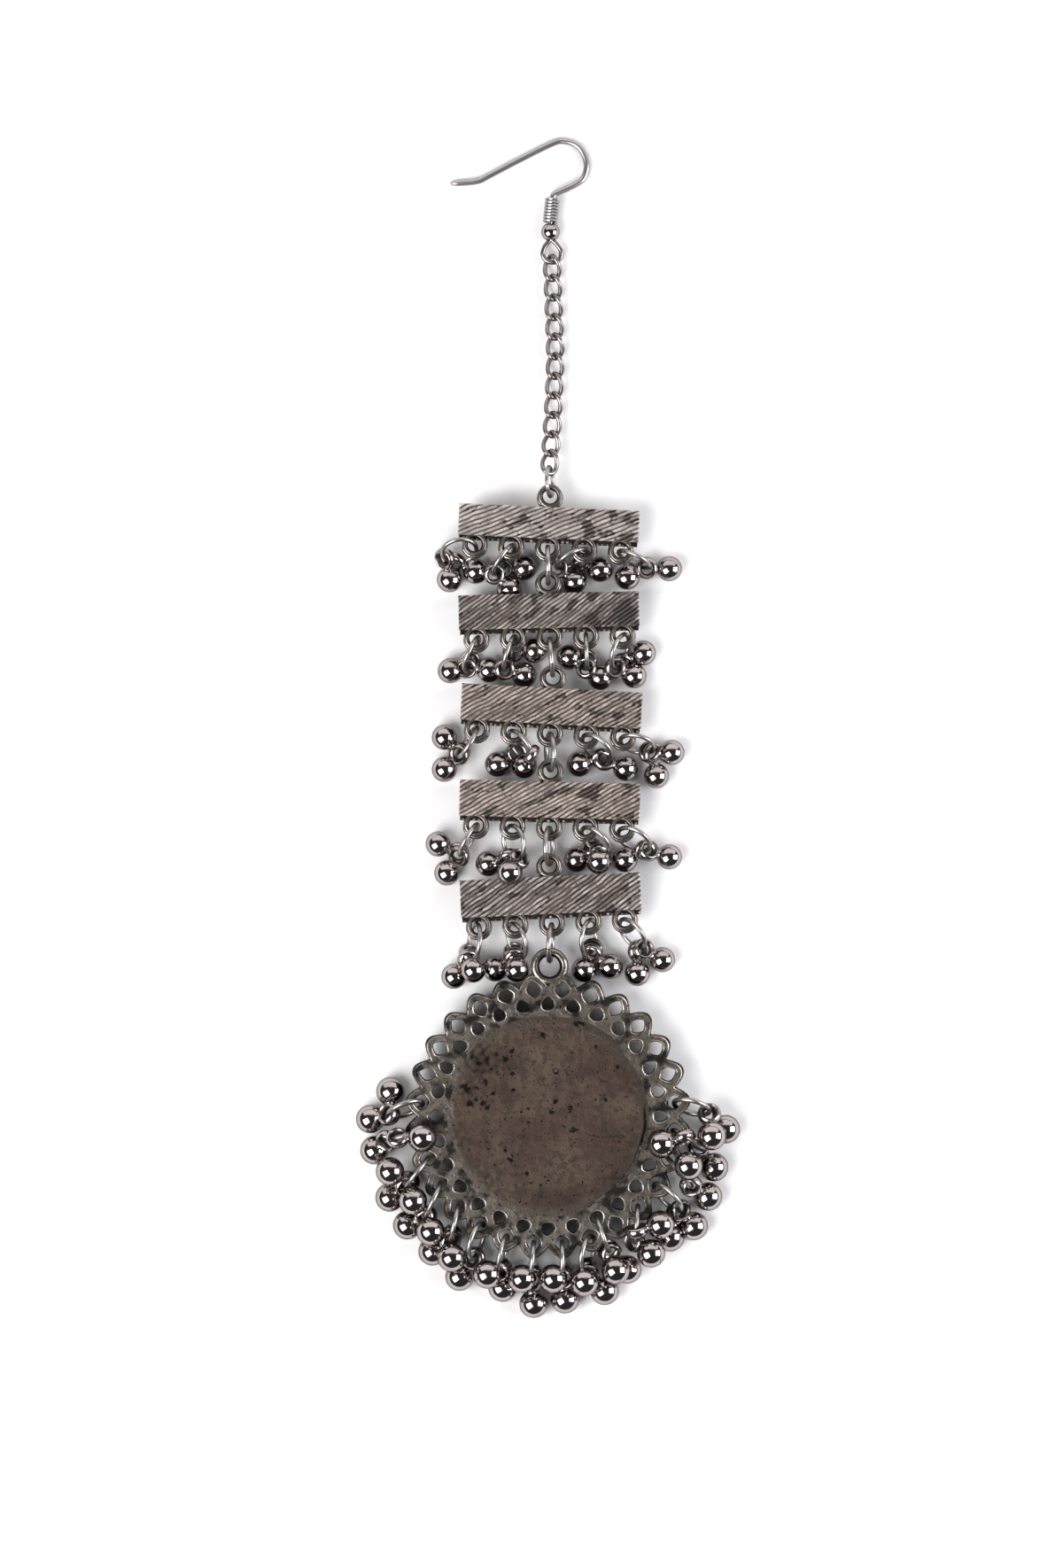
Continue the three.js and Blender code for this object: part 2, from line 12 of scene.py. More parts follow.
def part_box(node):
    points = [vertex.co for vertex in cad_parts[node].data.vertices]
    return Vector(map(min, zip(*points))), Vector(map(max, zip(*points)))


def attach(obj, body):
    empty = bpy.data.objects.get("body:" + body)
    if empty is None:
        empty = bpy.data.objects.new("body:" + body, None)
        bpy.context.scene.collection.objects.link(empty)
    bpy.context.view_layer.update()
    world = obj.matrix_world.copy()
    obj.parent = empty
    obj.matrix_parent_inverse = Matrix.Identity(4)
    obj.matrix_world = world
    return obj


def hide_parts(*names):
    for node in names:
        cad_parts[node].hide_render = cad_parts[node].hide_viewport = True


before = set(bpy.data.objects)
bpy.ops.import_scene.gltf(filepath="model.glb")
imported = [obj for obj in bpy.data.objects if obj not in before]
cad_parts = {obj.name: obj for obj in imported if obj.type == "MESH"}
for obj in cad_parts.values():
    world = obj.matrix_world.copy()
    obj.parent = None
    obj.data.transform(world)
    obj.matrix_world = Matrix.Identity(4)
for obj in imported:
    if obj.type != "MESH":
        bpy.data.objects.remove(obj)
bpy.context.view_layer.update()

MM = 0.001
LOG = logging.getLogger("tikka")
Point = tuple[float, float, float]
Colour = tuple[float, float, float]


class Slot(Enum):
    """Names of the material slots."""

    HOOK = "hook_wire"
    CHAIN = "chain_metal"
    RING = "ring_metal"
    BAR = "oxidised_bar"
    PLATE = "oxidised_plate"
    BELL = "bell_metal"


class Row(Enum):
    """The two rows of openings in the pendant's border."""

    OUTER = "outer"
    INNER = "inner"


class Number:
    """A number on a socket, on which Python's operators add Math nodes."""

    def __init__(self, tree: "NodeTree", socket: bpy.types.NodeSocket) -> None:
        """Wraps a socket of a tree.

        Args:
            tree: The tree that new nodes go into.
            socket: An output socket that carries a number.
        """
        self.tree = tree
        self.socket = socket

    def _math(self, operation: str, *others: "Number | float", swap: bool = False) -> "Number":
        """Adds a Math node for this number and others.

        Args:
            operation: The Math node's operation.
            others: The other operands.
            swap: Whether this number comes last.

        Returns:
            The result as a new number.
        """
        operands = [self, *others]
        if swap:
            operands.reverse()
        inputs = dict(enumerate(operands))
        made = self.tree.node("ShaderNodeMath", {"operation": operation}, inputs)
        return Number(self.tree, made.outputs[0])

    def __add__(self, other: "Number | float") -> "Number":
        """Sum."""
        return self._math("ADD", other)

    __radd__ = __add__

    def __sub__(self, other: "Number | float") -> "Number":
        """Difference."""
        return self._math("SUBTRACT", other)

    def __rsub__(self, other: float) -> "Number":
        """Difference from a plain number."""
        return self._math("SUBTRACT", other, swap=True)

    def __mul__(self, other: "Number | float") -> "Number":
        """Product."""
        return self._math("MULTIPLY", other)

    __rmul__ = __mul__

    def __pow__(self, other: "Number | float") -> "Number":
        """Power."""
        return self._math("POWER", other)

    def highest(self, other: "Number | float") -> "Number":
        """The larger of two numbers."""
        return self._math("MAXIMUM", other)

    def step(self, low: float, high: float) -> "Number":
        """Rises smoothly from 0 at low to 1 at high.

        Args:
            low: Where the rise starts.
            high: Where it ends.

        Returns:
            The smooth step as a new number.
        """
        made = self.tree.node(
            "ShaderNodeMapRange",
            {"interpolation_type": "SMOOTHSTEP"},
            {"Value": self, "From Min": low, "From Max": high},
        )
        return Number(self.tree, made.outputs[0])


class NodeTree:
    """A material and the nodes that it is made of."""

    def __init__(self, name: str) -> None:
        """Starts an empty material.

        Args:
            name: The material's name.
        """
        self.material = bpy.data.materials.new(name)
        self.material.use_nodes = True
        self.nodes = self.material.node_tree.nodes
        self.links = self.material.node_tree.links
        self.nodes.clear()

    def node(self, kind: str, settings: dict[str, object], inputs: dict[int | str, object]) -> bpy.types.Node:
        """Adds a node, sets it, and fills its sockets.

        Args:
            kind: The node's type.
            settings: Its own settings, set first.
            inputs: Values, numbers or sockets by the name or place of the input.

        Returns:
            The new node.
        """
        made = self.nodes.new(kind)
        for name, value in settings.items():
            setattr(made, name, value)
        for key, value in inputs.items():
            socket = made.inputs[key]
            if isinstance(value, Number):
                self.links.new(value.socket, socket)
            elif isinstance(value, bpy.types.NodeSocket):
                self.links.new(value, socket)
            else:
                socket.default_value = value
        return made

    def place(self, stretch: Point = (1.0, 1.0, 1.0), turn: float = 0.0) -> bpy.types.NodeSocket:
        """Position on the piece in millimetres.

        Args:
            stretch: How much finer a pattern gets along each axis.
            turn: Turn about the upright axis, in radians.

        Returns:
            The position's socket.
        """
        coordinates = self.node("ShaderNodeTexCoord", {}, {})
        mapping = self.node(
            "ShaderNodeMapping",
            {},
            {
                "Vector": coordinates.outputs["Object"],
                "Rotation": (0.0, 0.0, turn),
                "Scale": tuple(s / MM for s in stretch),
            },
        )
        return mapping.outputs[0]

    def noise(self, scale: float, detail: float = 2.0, where: bpy.types.NodeSocket | None = None) -> Number:
        """A noise from 0 to 1.

        Args:
            scale: Cells to a millimetre.
            detail: Finer layers.
            where: The position, or None for the plain one.

        Returns:
            The noise's number.
        """
        made = self.node(
            "ShaderNodeTexNoise",
            {},
            {"Vector": where or self.place(), "Scale": scale, "Detail": detail},
        )
        return Number(self, made.outputs[0])

    def attribute(self, name: str) -> Number:
        """A number that the mesh holds under a name."""
        made = self.node("ShaderNodeAttribute", {"attribute_name": name}, {})
        return Number(self, made.outputs["Fac"])

    def blend(self, share: Number, first: object, second: object) -> bpy.types.NodeSocket:
        """Mixes two colours.

        Args:
            share: 0 for the first colour and 1 for the second.
            first: A colour, or the socket of one.
            second: A colour, or the socket of one.

        Returns:
            The mixed colour's socket.
        """
        pair = [(*c, 1.0) if isinstance(c, tuple) else c for c in (first, second)]
        settings = {"data_type": "RGBA", "clamp_factor": True}
        made = self.node("ShaderNodeMix", settings, {0: share, 6: pair[0], 7: pair[1]})
        return made.outputs[2]

    def bump(self, height: Number, depth: float, strength: float) -> bpy.types.NodeSocket:
        """Turns a height from 0 to 1 into a normal.

        Args:
            height: The height.
            depth: The height of 1, in millimetres.
            strength: Strength of the bump.

        Returns:
            The normal's socket.
        """
        made = self.node("ShaderNodeBump", {}, {"Height": height, "Distance": depth * MM, "Strength": strength})
        return made.outputs[0]

    def surface(self, inputs: dict[str, object]) -> bpy.types.Material:
        """Ends the material in one Principled shader.

        Args:
            inputs: What its sockets get.

        Returns:
            The finished material.
        """
        shader = self.node("ShaderNodeBsdfPrincipled", {}, inputs)
        self.node("ShaderNodeOutputMaterial", {}, {"Surface": shader.outputs[0]})
        return self.material


@dataclass(frozen=True)
class PolishedPlating:
    """Bright plated metal with faint clouding, handling marks and dark traces."""

    name: str
    bright: Colour
    dulled: Colour
    edge: Colour
    roughness: float
    clouding: float
    traces: float
    grain: float

    def material(self) -> bpy.types.Material:
        """Makes the material.

        Returns:
            The finished material.
        """
        tree = NodeTree(self.name)
        cloud = tree.noise(0.55, 3.0).step(0.38, 0.72)
        speck = tree.noise(2.6, 4.0).step(0.64, 0.74)
        dark = (speck * self.traces).highest(tree.attribute("hollow"))
        colour = tree.blend(cloud * self.clouding, self.bright, self.dulled)
        colour = tree.blend(dark, colour, (0.035, 0.028, 0.022))
        scratches = tree.noise(1.4, 5.0, tree.place((1.0, 7.0, 3.0), 0.6))
        waves = tree.noise(0.9, 2.0)
        return tree.surface({
            "Base Color": colour,
            "Metallic": 1.0,
            "Specular Tint": (*self.edge, 1.0),
            "Roughness": self.roughness + 0.10 * cloud * self.clouding + 0.25 * dark,
            "Normal": tree.bump(waves + 0.35 * scratches, self.grain, 0.5),
        })


@dataclass(frozen=True)
class OxidisedCasting:
    """Cast metal blackened in its hollows and rubbed bright on its edges."""

    name: str
    ground: Colour
    warm: Colour
    black: Colour
    rubbed: Colour
    roughness: float
    metallic: float
    grain_depth: float
    blotches: float
    specks: float
    tarnish: float

    def material(self) -> bpy.types.Material:
        """Makes the material from the mesh's own 'rub' and 'hollow' values and from noise.

        Returns:
            The finished material.
        """
        tree = NodeTree(self.name)
        rub = tree.attribute("rub")
        hollow = tree.attribute("hollow")
        cloud = tree.noise(0.14, 4.0).step(0.36, 0.66)
        mottle = tree.noise(1.1, 5.0).step(0.42, 0.62)
        grain = tree.noise(7.0, 3.0)
        pits = tree.noise(2.3, 2.0).step(0.65, 0.71).highest(tree.noise(4.4, 1.0).step(0.69, 0.75)) * self.specks
        smoke = tree.noise(0.5, 6.0).step(0.46, 0.62) * self.tarnish
        hairlines = tree.noise(1.3, 3.0, tree.place((0.5, 6.0, 1.0), 0.9)).step(0.66, 0.72)
        colour = tree.blend(cloud, self.ground, self.warm)
        colour = tree.blend(mottle * self.blotches, colour, tuple(0.55 * c for c in self.ground))
        colour = tree.blend(grain.step(0.5, 0.75) * 0.16, colour, self.rubbed)
        colour = tree.blend(hairlines * 0.12, colour, self.rubbed)
        dark = (hollow * (0.75 + 0.45 * grain)).highest(pits).highest(smoke * (0.6 + 0.6 * grain))
        colour = tree.blend(rub * (0.6 + 0.4 * mottle), colour, self.rubbed)
        colour = tree.blend(dark, colour, self.black)
        height = grain * 0.6 + mottle * 0.5 - pits * 1.2
        return tree.surface({
            "Base Color": colour,
            "Metallic": self.metallic,
            "Specular IOR Level": 0.15,
            "Roughness": self.roughness + 0.18 * dark - 0.16 * rub,
            "Normal": tree.bump(height, self.grain_depth, 0.7),
        })


# The bells' dark edge colour is painted shade: it darkens their rims, which reflect the shadowed surface close round
# each bell.
BELL_PLATING = PolishedPlating(
    "bell_plating", (0.42, 0.382, 0.373), (0.33, 0.290, 0.278), (0.36, 0.33, 0.335), 0.10, 0.45, 0.3, 0.012)
EYE_PLATING = PolishedPlating(
    "eye_plating", (0.43, 0.39, 0.375), (0.29, 0.26, 0.245), (0.42, 0.39, 0.39), 0.18, 0.6, 0.45, 0.012)
HOOK_PLATING = PolishedPlating(
    "hook_plating", (0.46, 0.44, 0.445), (0.38, 0.365, 0.37), (0.50, 0.48, 0.49), 0.31, 0.3, 0.05, 0.01)
RING_PLATING = PolishedPlating(
    "ring_plating", (0.42, 0.40, 0.385), (0.29, 0.275, 0.26), (0.45, 0.43, 0.43), 0.30, 0.6, 0.4, 0.015)
CHAIN_PLATING = PolishedPlating(
    "chain_plating", (0.30, 0.273, 0.261), (0.185, 0.165, 0.155), (0.40, 0.37, 0.37), 0.27, 0.6, 0.4, 0.015)
BAR_CASTING = OxidisedCasting(
    "bar_casting", (0.175, 0.150, 0.137), (0.160, 0.132, 0.116), (0.008, 0.007, 0.007),
    (0.66, 0.60, 0.575), 0.50, 0.45, 0.03, 0.35, 0.85, 0.25)
BROWN_BAR_CASTING = OxidisedCasting(
    "brown_bar_casting", (0.178, 0.143, 0.123), (0.163, 0.126, 0.105), (0.008, 0.007, 0.007),
    (0.67, 0.575, 0.52), 0.50, 0.45, 0.03, 0.35, 0.85, 0.25)
LOOP_CASTING = OxidisedCasting(
    "loop_casting", (0.160, 0.141, 0.126), (0.150, 0.125, 0.105), (0.008, 0.007, 0.007),
    (0.48, 0.435, 0.405), 0.29, 0.9, 0.025, 0.6, 0.6, 0.45)
BORDER_CASTING = OxidisedCasting(
    "border_casting", (0.150, 0.131, 0.114), (0.118, 0.097, 0.078), (0.006, 0.006, 0.006),
    (0.60, 0.56, 0.52), 0.40, 0.78, 0.06, 0.9, 0.95, 1.0)
PLATE_CASTING = OxidisedCasting(
    "plate_casting", (0.116, 0.086, 0.066), (0.080, 0.051, 0.040), (0.004, 0.004, 0.004),
    (0.124, 0.108, 0.094), 0.43, 0.74, 0.04, 0.75, 0.95, 0.3)


@dataclass
class Form:
    """Points and faces of one piece, in millimetres of the drawing that starts at the pendant's middle."""

    points: list[Vector] = field(default_factory=list)
    faces: list[tuple[int, ...]] = field(default_factory=list)
    rub: list[float] = field(default_factory=list)
    hollow: list[float] = field(default_factory=list)
    looks: list[int] = field(default_factory=list)
    look: int = 0

    def add(self, points: Iterable[Vector], faces: Iterable[Sequence[int]], rub: float = 0.0,
            hollow: float = 0.0) -> None:
        """Adds a closed shape, with the form's present look.

        Args:
            points: Its points.
            faces: Its faces, counted from its own first point.
            rub: How bright it is rubbed.
            hollow: How black it is.
        """
        start = len(self.points)
        self.points.extend(points)
        self.faces.extend(tuple(start + i for i in face) for face in faces)
        self.looks.extend([self.look] * (len(self.faces) - len(self.looks)))
        missing = len(self.points) - len(self.rub)
        self.rub.extend([rub] * missing)
        self.hollow.extend([hollow] * missing)

    def move(self, matrix: Matrix) -> None:
        """Moves all points by a matrix."""
        self.points = [matrix @ p for p in self.points]

    def sweep(self, path: Sequence[Vector], half: tuple[float, float] | Callable[[float], float], sides: int,
              closed: bool, up: Vector = Vector((0, 0, 1)), rub: float = 0.0, hollow: float = 0.0) -> None:
        """Sweeps an oval section along a path.

        Args:
            path: Points of the path.
            half: Half width across 'up' and half width along it, or a radius for each share of the length.
            sides: Sides of the section.
            closed: Whether the path closes on itself.
            up: The direction that the section's second axis keeps to.
            rub: How bright it is rubbed.
            hollow: How black it is.
        """
        count = len(path)
        points = []
        for i, here in enumerate(path):
            before = path[i - 1] if closed or i > 0 else here
            after = path[(i + 1) % count] if closed or i < count - 1 else here
            along = (after - before).normalized()
            across = along.cross(up)
            across = across.normalized() if across.length > 1e-4 else along.orthogonal().normalized()
            rise = across.cross(along).normalized()
            radius = half(i / (count - 1)) if callable(half) else None
            wide, high = (radius, radius) if radius is not None else half
            for k in range(sides):
                angle = 2 * math.pi * k / sides
                points.append(here + across * (wide * math.cos(angle)) + rise * (high * math.sin(angle)))
        rings = count if closed else count - 1
        faces = []
        for i in range(rings):
            j = (i + 1) % count
            for k in range(sides):
                n = (k + 1) % sides
                faces.append((i * sides + k, i * sides + n, j * sides + n, j * sides + k))
        if not closed:
            faces.append(tuple(range(sides - 1, -1, -1)))
            faces.append(tuple((count - 1) * sides + k for k in range(sides)))
        self.add(points, faces, rub, hollow)

    def ring(self, middle: Vector, axis: Vector, radius: float, half: tuple[float, float], steps: int,
             sides: int, start: Vector | None = None, cut: float = 0.0, rub: float = 0.0,
             inside: float = 0.0) -> None:
        """Adds a round ring, cut through or whole.

        Args:
            middle: Its middle.
            axis: Its axis.
            radius: Radius to the middle of its section.
            half: Half width of the section along the radius and along the axis.
            steps: Steps round the ring.
            sides: Sides of the section.
            start: Direction of the cut from the middle, or None for any.
            cut: Width of the cut.
            rub: How bright it is rubbed.
            inside: How black its inner side is, which is never rubbed; this black is painted shade in the ring's hole.
        """
        axis = axis.normalized()
        first = (start - axis * start.dot(axis)).normalized() if start is not None else axis.orthogonal().normalized()
        second = axis.cross(first)
        gap = cut / radius
        span = 2 * math.pi - gap
        count = steps + 1 if cut else steps
        turns = [gap / 2 + span * i / steps for i in range(count)]
        path = [middle + (first * math.cos(t) + second * math.sin(t)) * radius for t in turns]
        begin = len(self.points)
        self.sweep(path, half, sides, not cut, axis, rub)
        # Painted shade: the inner side is coloured black where the ring's hole lies in shadow.
        if inside:
            for k in range(len(self.points) - begin):
                if math.cos(2 * math.pi * k / sides) < -0.4:
                    self.rub[begin + k], self.hollow[begin + k] = 0.0, inside

    def turned(self, profile: Sequence[tuple[float, float]], middle: Vector, axis: Vector, steps: int,
               rub: float = 0.0, hollow: float = 0.0) -> None:
        """Turns a profile round an axis.

        Args:
            profile: Radius and height of each point. A first or last radius of 0 closes on the axis, and any
                other profile closes on itself.
            middle: Where height 0 is.
            axis: The axis.
            steps: Steps round it.
            rub: How bright it is rubbed.
            hollow: How black it is.
        """
        axis = axis.normalized()
        first = axis.orthogonal().normalized()
        second = axis.cross(first)
        points: list[Vector] = []
        rows: list[list[int]] = []
        for radius, height in profile:
            base = middle + axis * height
            if radius == 0.0:
                rows.append([len(points)] * steps)
                points.append(base)
                continue
            rows.append(list(range(len(points), len(points) + steps)))
            for k in range(steps):
                turn = 2 * math.pi * k / steps
                points.append(base + (first * math.cos(turn) + second * math.sin(turn)) * radius)
        open_ended = profile[0][0] == 0.0
        pairs = list(zip(rows, rows[1:])) + ([] if open_ended else [(rows[-1], rows[0])])
        faces = []
        for low, high in pairs:
            for k in range(steps):
                n = (k + 1) % steps
                face = list(dict.fromkeys((low[k], low[n], high[n], high[k])))
                if len(face) > 2:
                    faces.append(tuple(face))
        self.add(points, faces, rub, hollow)

    def ball(self, middle: Vector, radius: float, steps: int, rub: float = 0.0, hollow: float = 0.0,
             axis: Vector = Vector((0, 0, 1))) -> None:
        """Adds a ball.

        Args:
            middle: Its middle.
            radius: Its radius.
            steps: Steps round it.
            rub: How bright it is rubbed.
            hollow: How black it is.
            axis: Its axis.
        """
        bands = steps // 2
        profile = [(radius * math.sin(math.pi * i / bands), -radius * math.cos(math.pi * i / bands))
                   for i in range(bands + 1)]
        profile[0] = (0.0, -radius)
        profile[-1] = (0.0, radius)
        self.turned(profile, middle, axis, steps, rub, hollow)


class Maker:
    """Turns forms into dressed Blender objects that stand for the fixed frame's nodes."""

    def __init__(self) -> None:
        """Finds the drawing's start in the fixed frame and makes the materials."""
        low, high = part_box("pendant")
        top = PENDANT.ring_middle[1] + PENDANT.ring_outside / 2
        self.shift = Vector(((low.x + high.x) / 2 / MM, high.y / MM - top, 0.0))
        self.materials = {
            finish.name: finish.material()
            for finish in (BELL_PLATING, EYE_PLATING, HOOK_PLATING, RING_PLATING, CHAIN_PLATING,
                           BAR_CASTING, BROWN_BAR_CASTING, LOOP_CASTING, BORDER_CASTING, PLATE_CASTING)
        }

    def mesh(self, name: str, form: Form) -> bpy.types.Object:
        """Makes a smooth mesh object of a form.

        Args:
            name: The object's name.
            form: Its form.

        Returns:
            The object.
        """
        mesh = bpy.data.meshes.new(name)
        mesh.from_pydata([(p + self.shift) * MM for p in form.points], [], form.faces)
        for title, values in (("rub", form.rub), ("hollow", form.hollow)):
            mesh.attributes.new(title, "FLOAT", "POINT").data.foreach_set("value", values)
        mesh.polygons.foreach_set("use_smooth", [True] * len(mesh.polygons))
        mesh.polygons.foreach_set("material_index", form.looks)
        mesh.set_sharp_from_angle(angle=math.radians(40))
        made = bpy.data.objects.new(name, mesh)
        bpy.context.scene.collection.objects.link(made)
        return made

    def finish(self, piece: bpy.types.Object, node: str, slot: Slot, *looks: str) -> None:
        """Dresses a piece and puts it in the place of a node.

        Args:
            piece: The piece.
            node: The fixed frame's node that it stands for.
            slot: The material slot; not used.
            looks: Names of its materials, in the order of the form's looks.
        """
        for index, look in enumerate(looks):
            if index < len(piece.data.materials):
                piece.data.materials[index] = self.materials[look]
            else:
                piece.data.materials.append(self.materials[look])
        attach(piece, "root")
        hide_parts(node)
        LOG.info("%s: %d faces", piece.name, len(piece.data.polygons))


def smooth_path(corners: Sequence[Sequence[float]], steps: int, closed: bool = False) -> list[Vector]:
    """A Catmull-Rom line through points.

    Args:
        corners: The points.
        steps: Steps from each point to the next.
        closed: Whether the line closes on itself.

    Returns:
        Points of the line.
    """
    held = [Vector(c) for c in corners]
    count = len(held)
    spans = count if closed else count - 1
    path = []
    for i in range(spans):
        quad = []
        for offset in (-1, 0, 1, 2):
            k = i + offset
            quad.append(held[k % count] if closed else held[min(max(k, 0), count - 1)])
        a, b, c, d = quad
        for s in range(steps):
            t = s / steps
            path.append(0.5 * (2 * b + (c - a) * t + (2 * a - 5 * b + 4 * c - d) * t ** 2
                               + (3 * b - a - 3 * c + d) * t ** 3))
    if not closed:
        path.append(held[-1])
    return path


def even_places(path: Sequence[Vector], count: int) -> list[tuple[Vector, Vector]]:
    """Evenly spaced places on a line.

    Args:
        path: Points of the line.
        count: How many places, with one at each end.

    Returns:
        The point and the direction at each place.
    """
    reach = [0.0]
    for a, b in zip(path, path[1:]):
        reach.append(reach[-1] + (b - a).length)
    places = []
    k = 0
    for i in range(count):
        wanted = reach[-1] * i / (count - 1)
        while k < len(path) - 2 and reach[k + 1] < wanted:
            k += 1
        share = (wanted - reach[k]) / (reach[k + 1] - reach[k])
        places.append((path[k].lerp(path[k + 1], share), (path[k + 1] - path[k]).normalized()))
    return places


@dataclass
class HairHook:
    """The bent wire with its coil, bead and teardrop eye."""

    wire: float = 0.76
    eye_wire: float = 0.56
    stem_height: float = 1.02
    coil_wire: float = 0.34
    coil_turns: int = 8
    coil_outside: float = 1.8
    coil_top: tuple[float, float] = (0.56, 108.85)
    coil_bottom: tuple[float, float] = (0.24, 105.95)
    bead_middle: tuple[float, float] = (0.3, 104.9)
    bead: float = 2.2
    bore: float = 1.2
    route: tuple[Point, ...] = (
        (-11.3, 110.7, 0.42), (-9.6, 110.8, 0.38), (-8.2, 111.0, 0.38), (-7.0, 111.6, 0.38),
        (-3.0, 113.7, 0.38), (0.7, 115.5, 0.38), (1.9, 115.7, 0.38), (3.1, 115.4, 0.4),
        (4.0, 114.6, 0.45), (4.6, 112.9, 0.55), (4.2, 111.3, 0.65), (3.1, 110.45, 0.8),
        (1.5, 109.7, 0.95), (0.72, 109.3, 1.02), (0.52, 108.5, 1.02), (0.28, 106.4, 1.02),
        (0.3, 104.9, 1.02), (0.36, 103.95, 1.02),
    )
    eye_route: tuple[tuple[float, float], ...] = (
        (0.36, 104.3), (0.5, 103.95), (0.95, 103.5), (1.5, 102.75), (1.5, 101.9), (0.95, 101.35),
        (0.3, 101.3), (-0.3, 101.6), (-0.62, 102.3), (-0.35, 103.2), (0.15, 103.85), (0.28, 104.3),
    )

    def build(self, maker: Maker) -> None:
        """Builds the three pieces.

        Args:
            maker: Makes the objects.
        """
        hook = Form()
        path = smooth_path(self.route, 10)
        radius = self.wire / 2
        hook.sweep(path, lambda share: radius * min(1.0, 0.72 + 14 * share), 16, False)
        hook.ball(path[0], radius * 0.72, 16)
        eye = [(x, y, self.stem_height) for x, y in self.eye_route]
        half = self.eye_wire / 2
        hook.look = 1
        hook.sweep(smooth_path(eye, 8), lambda share: half, 14, False)
        maker.finish(maker.mesh("hook_wire", hook), "hair_hook", Slot.HOOK, HOOK_PLATING.name, CHAIN_PLATING.name)
        maker.finish(maker.mesh("wound_coil", self.coil()), "hook_coil", Slot.HOOK, HOOK_PLATING.name)
        maker.finish(maker.mesh("drilled_bead", self.drilled_bead()), "hook_ball", Slot.HOOK, BELL_PLATING.name)

    def coil(self) -> Form:
        """The fine wire wound round the stem.

        Returns:
            The coil's form.
        """
        top = Vector((*self.coil_top, self.stem_height))
        bottom = Vector((*self.coil_bottom, self.stem_height))
        axis = (top - bottom).normalized()
        side = axis.orthogonal().normalized()
        other = axis.cross(side)
        radius = (self.coil_outside - self.coil_wire) / 2
        steps = 24 * self.coil_turns
        path = []
        for i in range(steps + 1):
            turn = 2 * math.pi * self.coil_turns * i / steps
            rise = bottom.lerp(top, i / steps)
            path.append(rise + (side * math.cos(turn) + other * math.sin(turn)) * radius)
        form = Form()
        form.sweep(path, lambda share: self.coil_wire / 2, 8, False, axis)
        return form

    def drilled_bead(self) -> Form:
        """The bead with its bore.

        Returns:
            The bead's form.
        """
        radius = self.bead / 2
        edge = math.asin(self.bore / self.bead)
        bands = 20
        profile = []
        for i in range(bands + 1):
            angle = math.pi - edge - i / bands * (math.pi - 2 * edge)
            profile.append((radius * math.sin(angle), radius * math.cos(angle)))
        form = Form()
        form.turned(profile, Vector((*self.bead_middle, radius)), Vector((0, 1, 0)), 40)
        return form


@dataclass
class CurbChain:
    """A curb chain: twisted oval links, each through the one before."""

    links: int = 11
    wire: float = 0.56
    half_width: float = 0.88
    half_length: float = 1.41
    twist: float = 88.0
    roll: float = 14.0
    route: tuple[Point, ...] = (
        (0.5, 100.6, 1.1), (0.7, 95.6, 1.05), (0.85, 90.0, 1.05), (0.65, 84.5, 1.15),
        (0.4, 80.6, 1.6), (0.2, 77.5, 2.45),
    )

    def link(self) -> list[Vector]:
        """Middle line of one link: an oval that is twisted along its length.

        Returns:
            Points round the link, with its length along Y.
        """
        path = []
        steps = 44
        for i in range(steps):
            turn = 2 * math.pi * i / steps
            x = self.half_width * math.copysign(abs(math.cos(turn)) ** 0.85, math.cos(turn))
            y = self.half_length * math.copysign(abs(math.sin(turn)) ** 0.9, math.sin(turn))
            angle = math.radians(self.roll + self.twist / 2 * y / self.half_length)
            path.append(Vector((x * math.cos(angle), y, x * math.sin(angle))))
        return path

    def build(self, maker: Maker) -> None:
        """Builds the chain as one piece.

        Args:
            maker: Makes the objects.
        """
        form = Form()
        for middle, along in even_places(smooth_path(self.route, 12), self.links):
            upward = -along
            aside = upward.cross(Vector((0, 0, 1))).normalized()
            turn = Matrix((aside, upward, aside.cross(upward))).transposed()
            path = [middle + turn @ p for p in self.link()]
            form.sweep(path, (self.wire / 2, self.wire / 2), 10, True, Vector((0.3, 0.1, 1)))
        maker.finish(maker.mesh("curb_chain", form), "chain", Slot.CHAIN, CHAIN_PLATING.name)


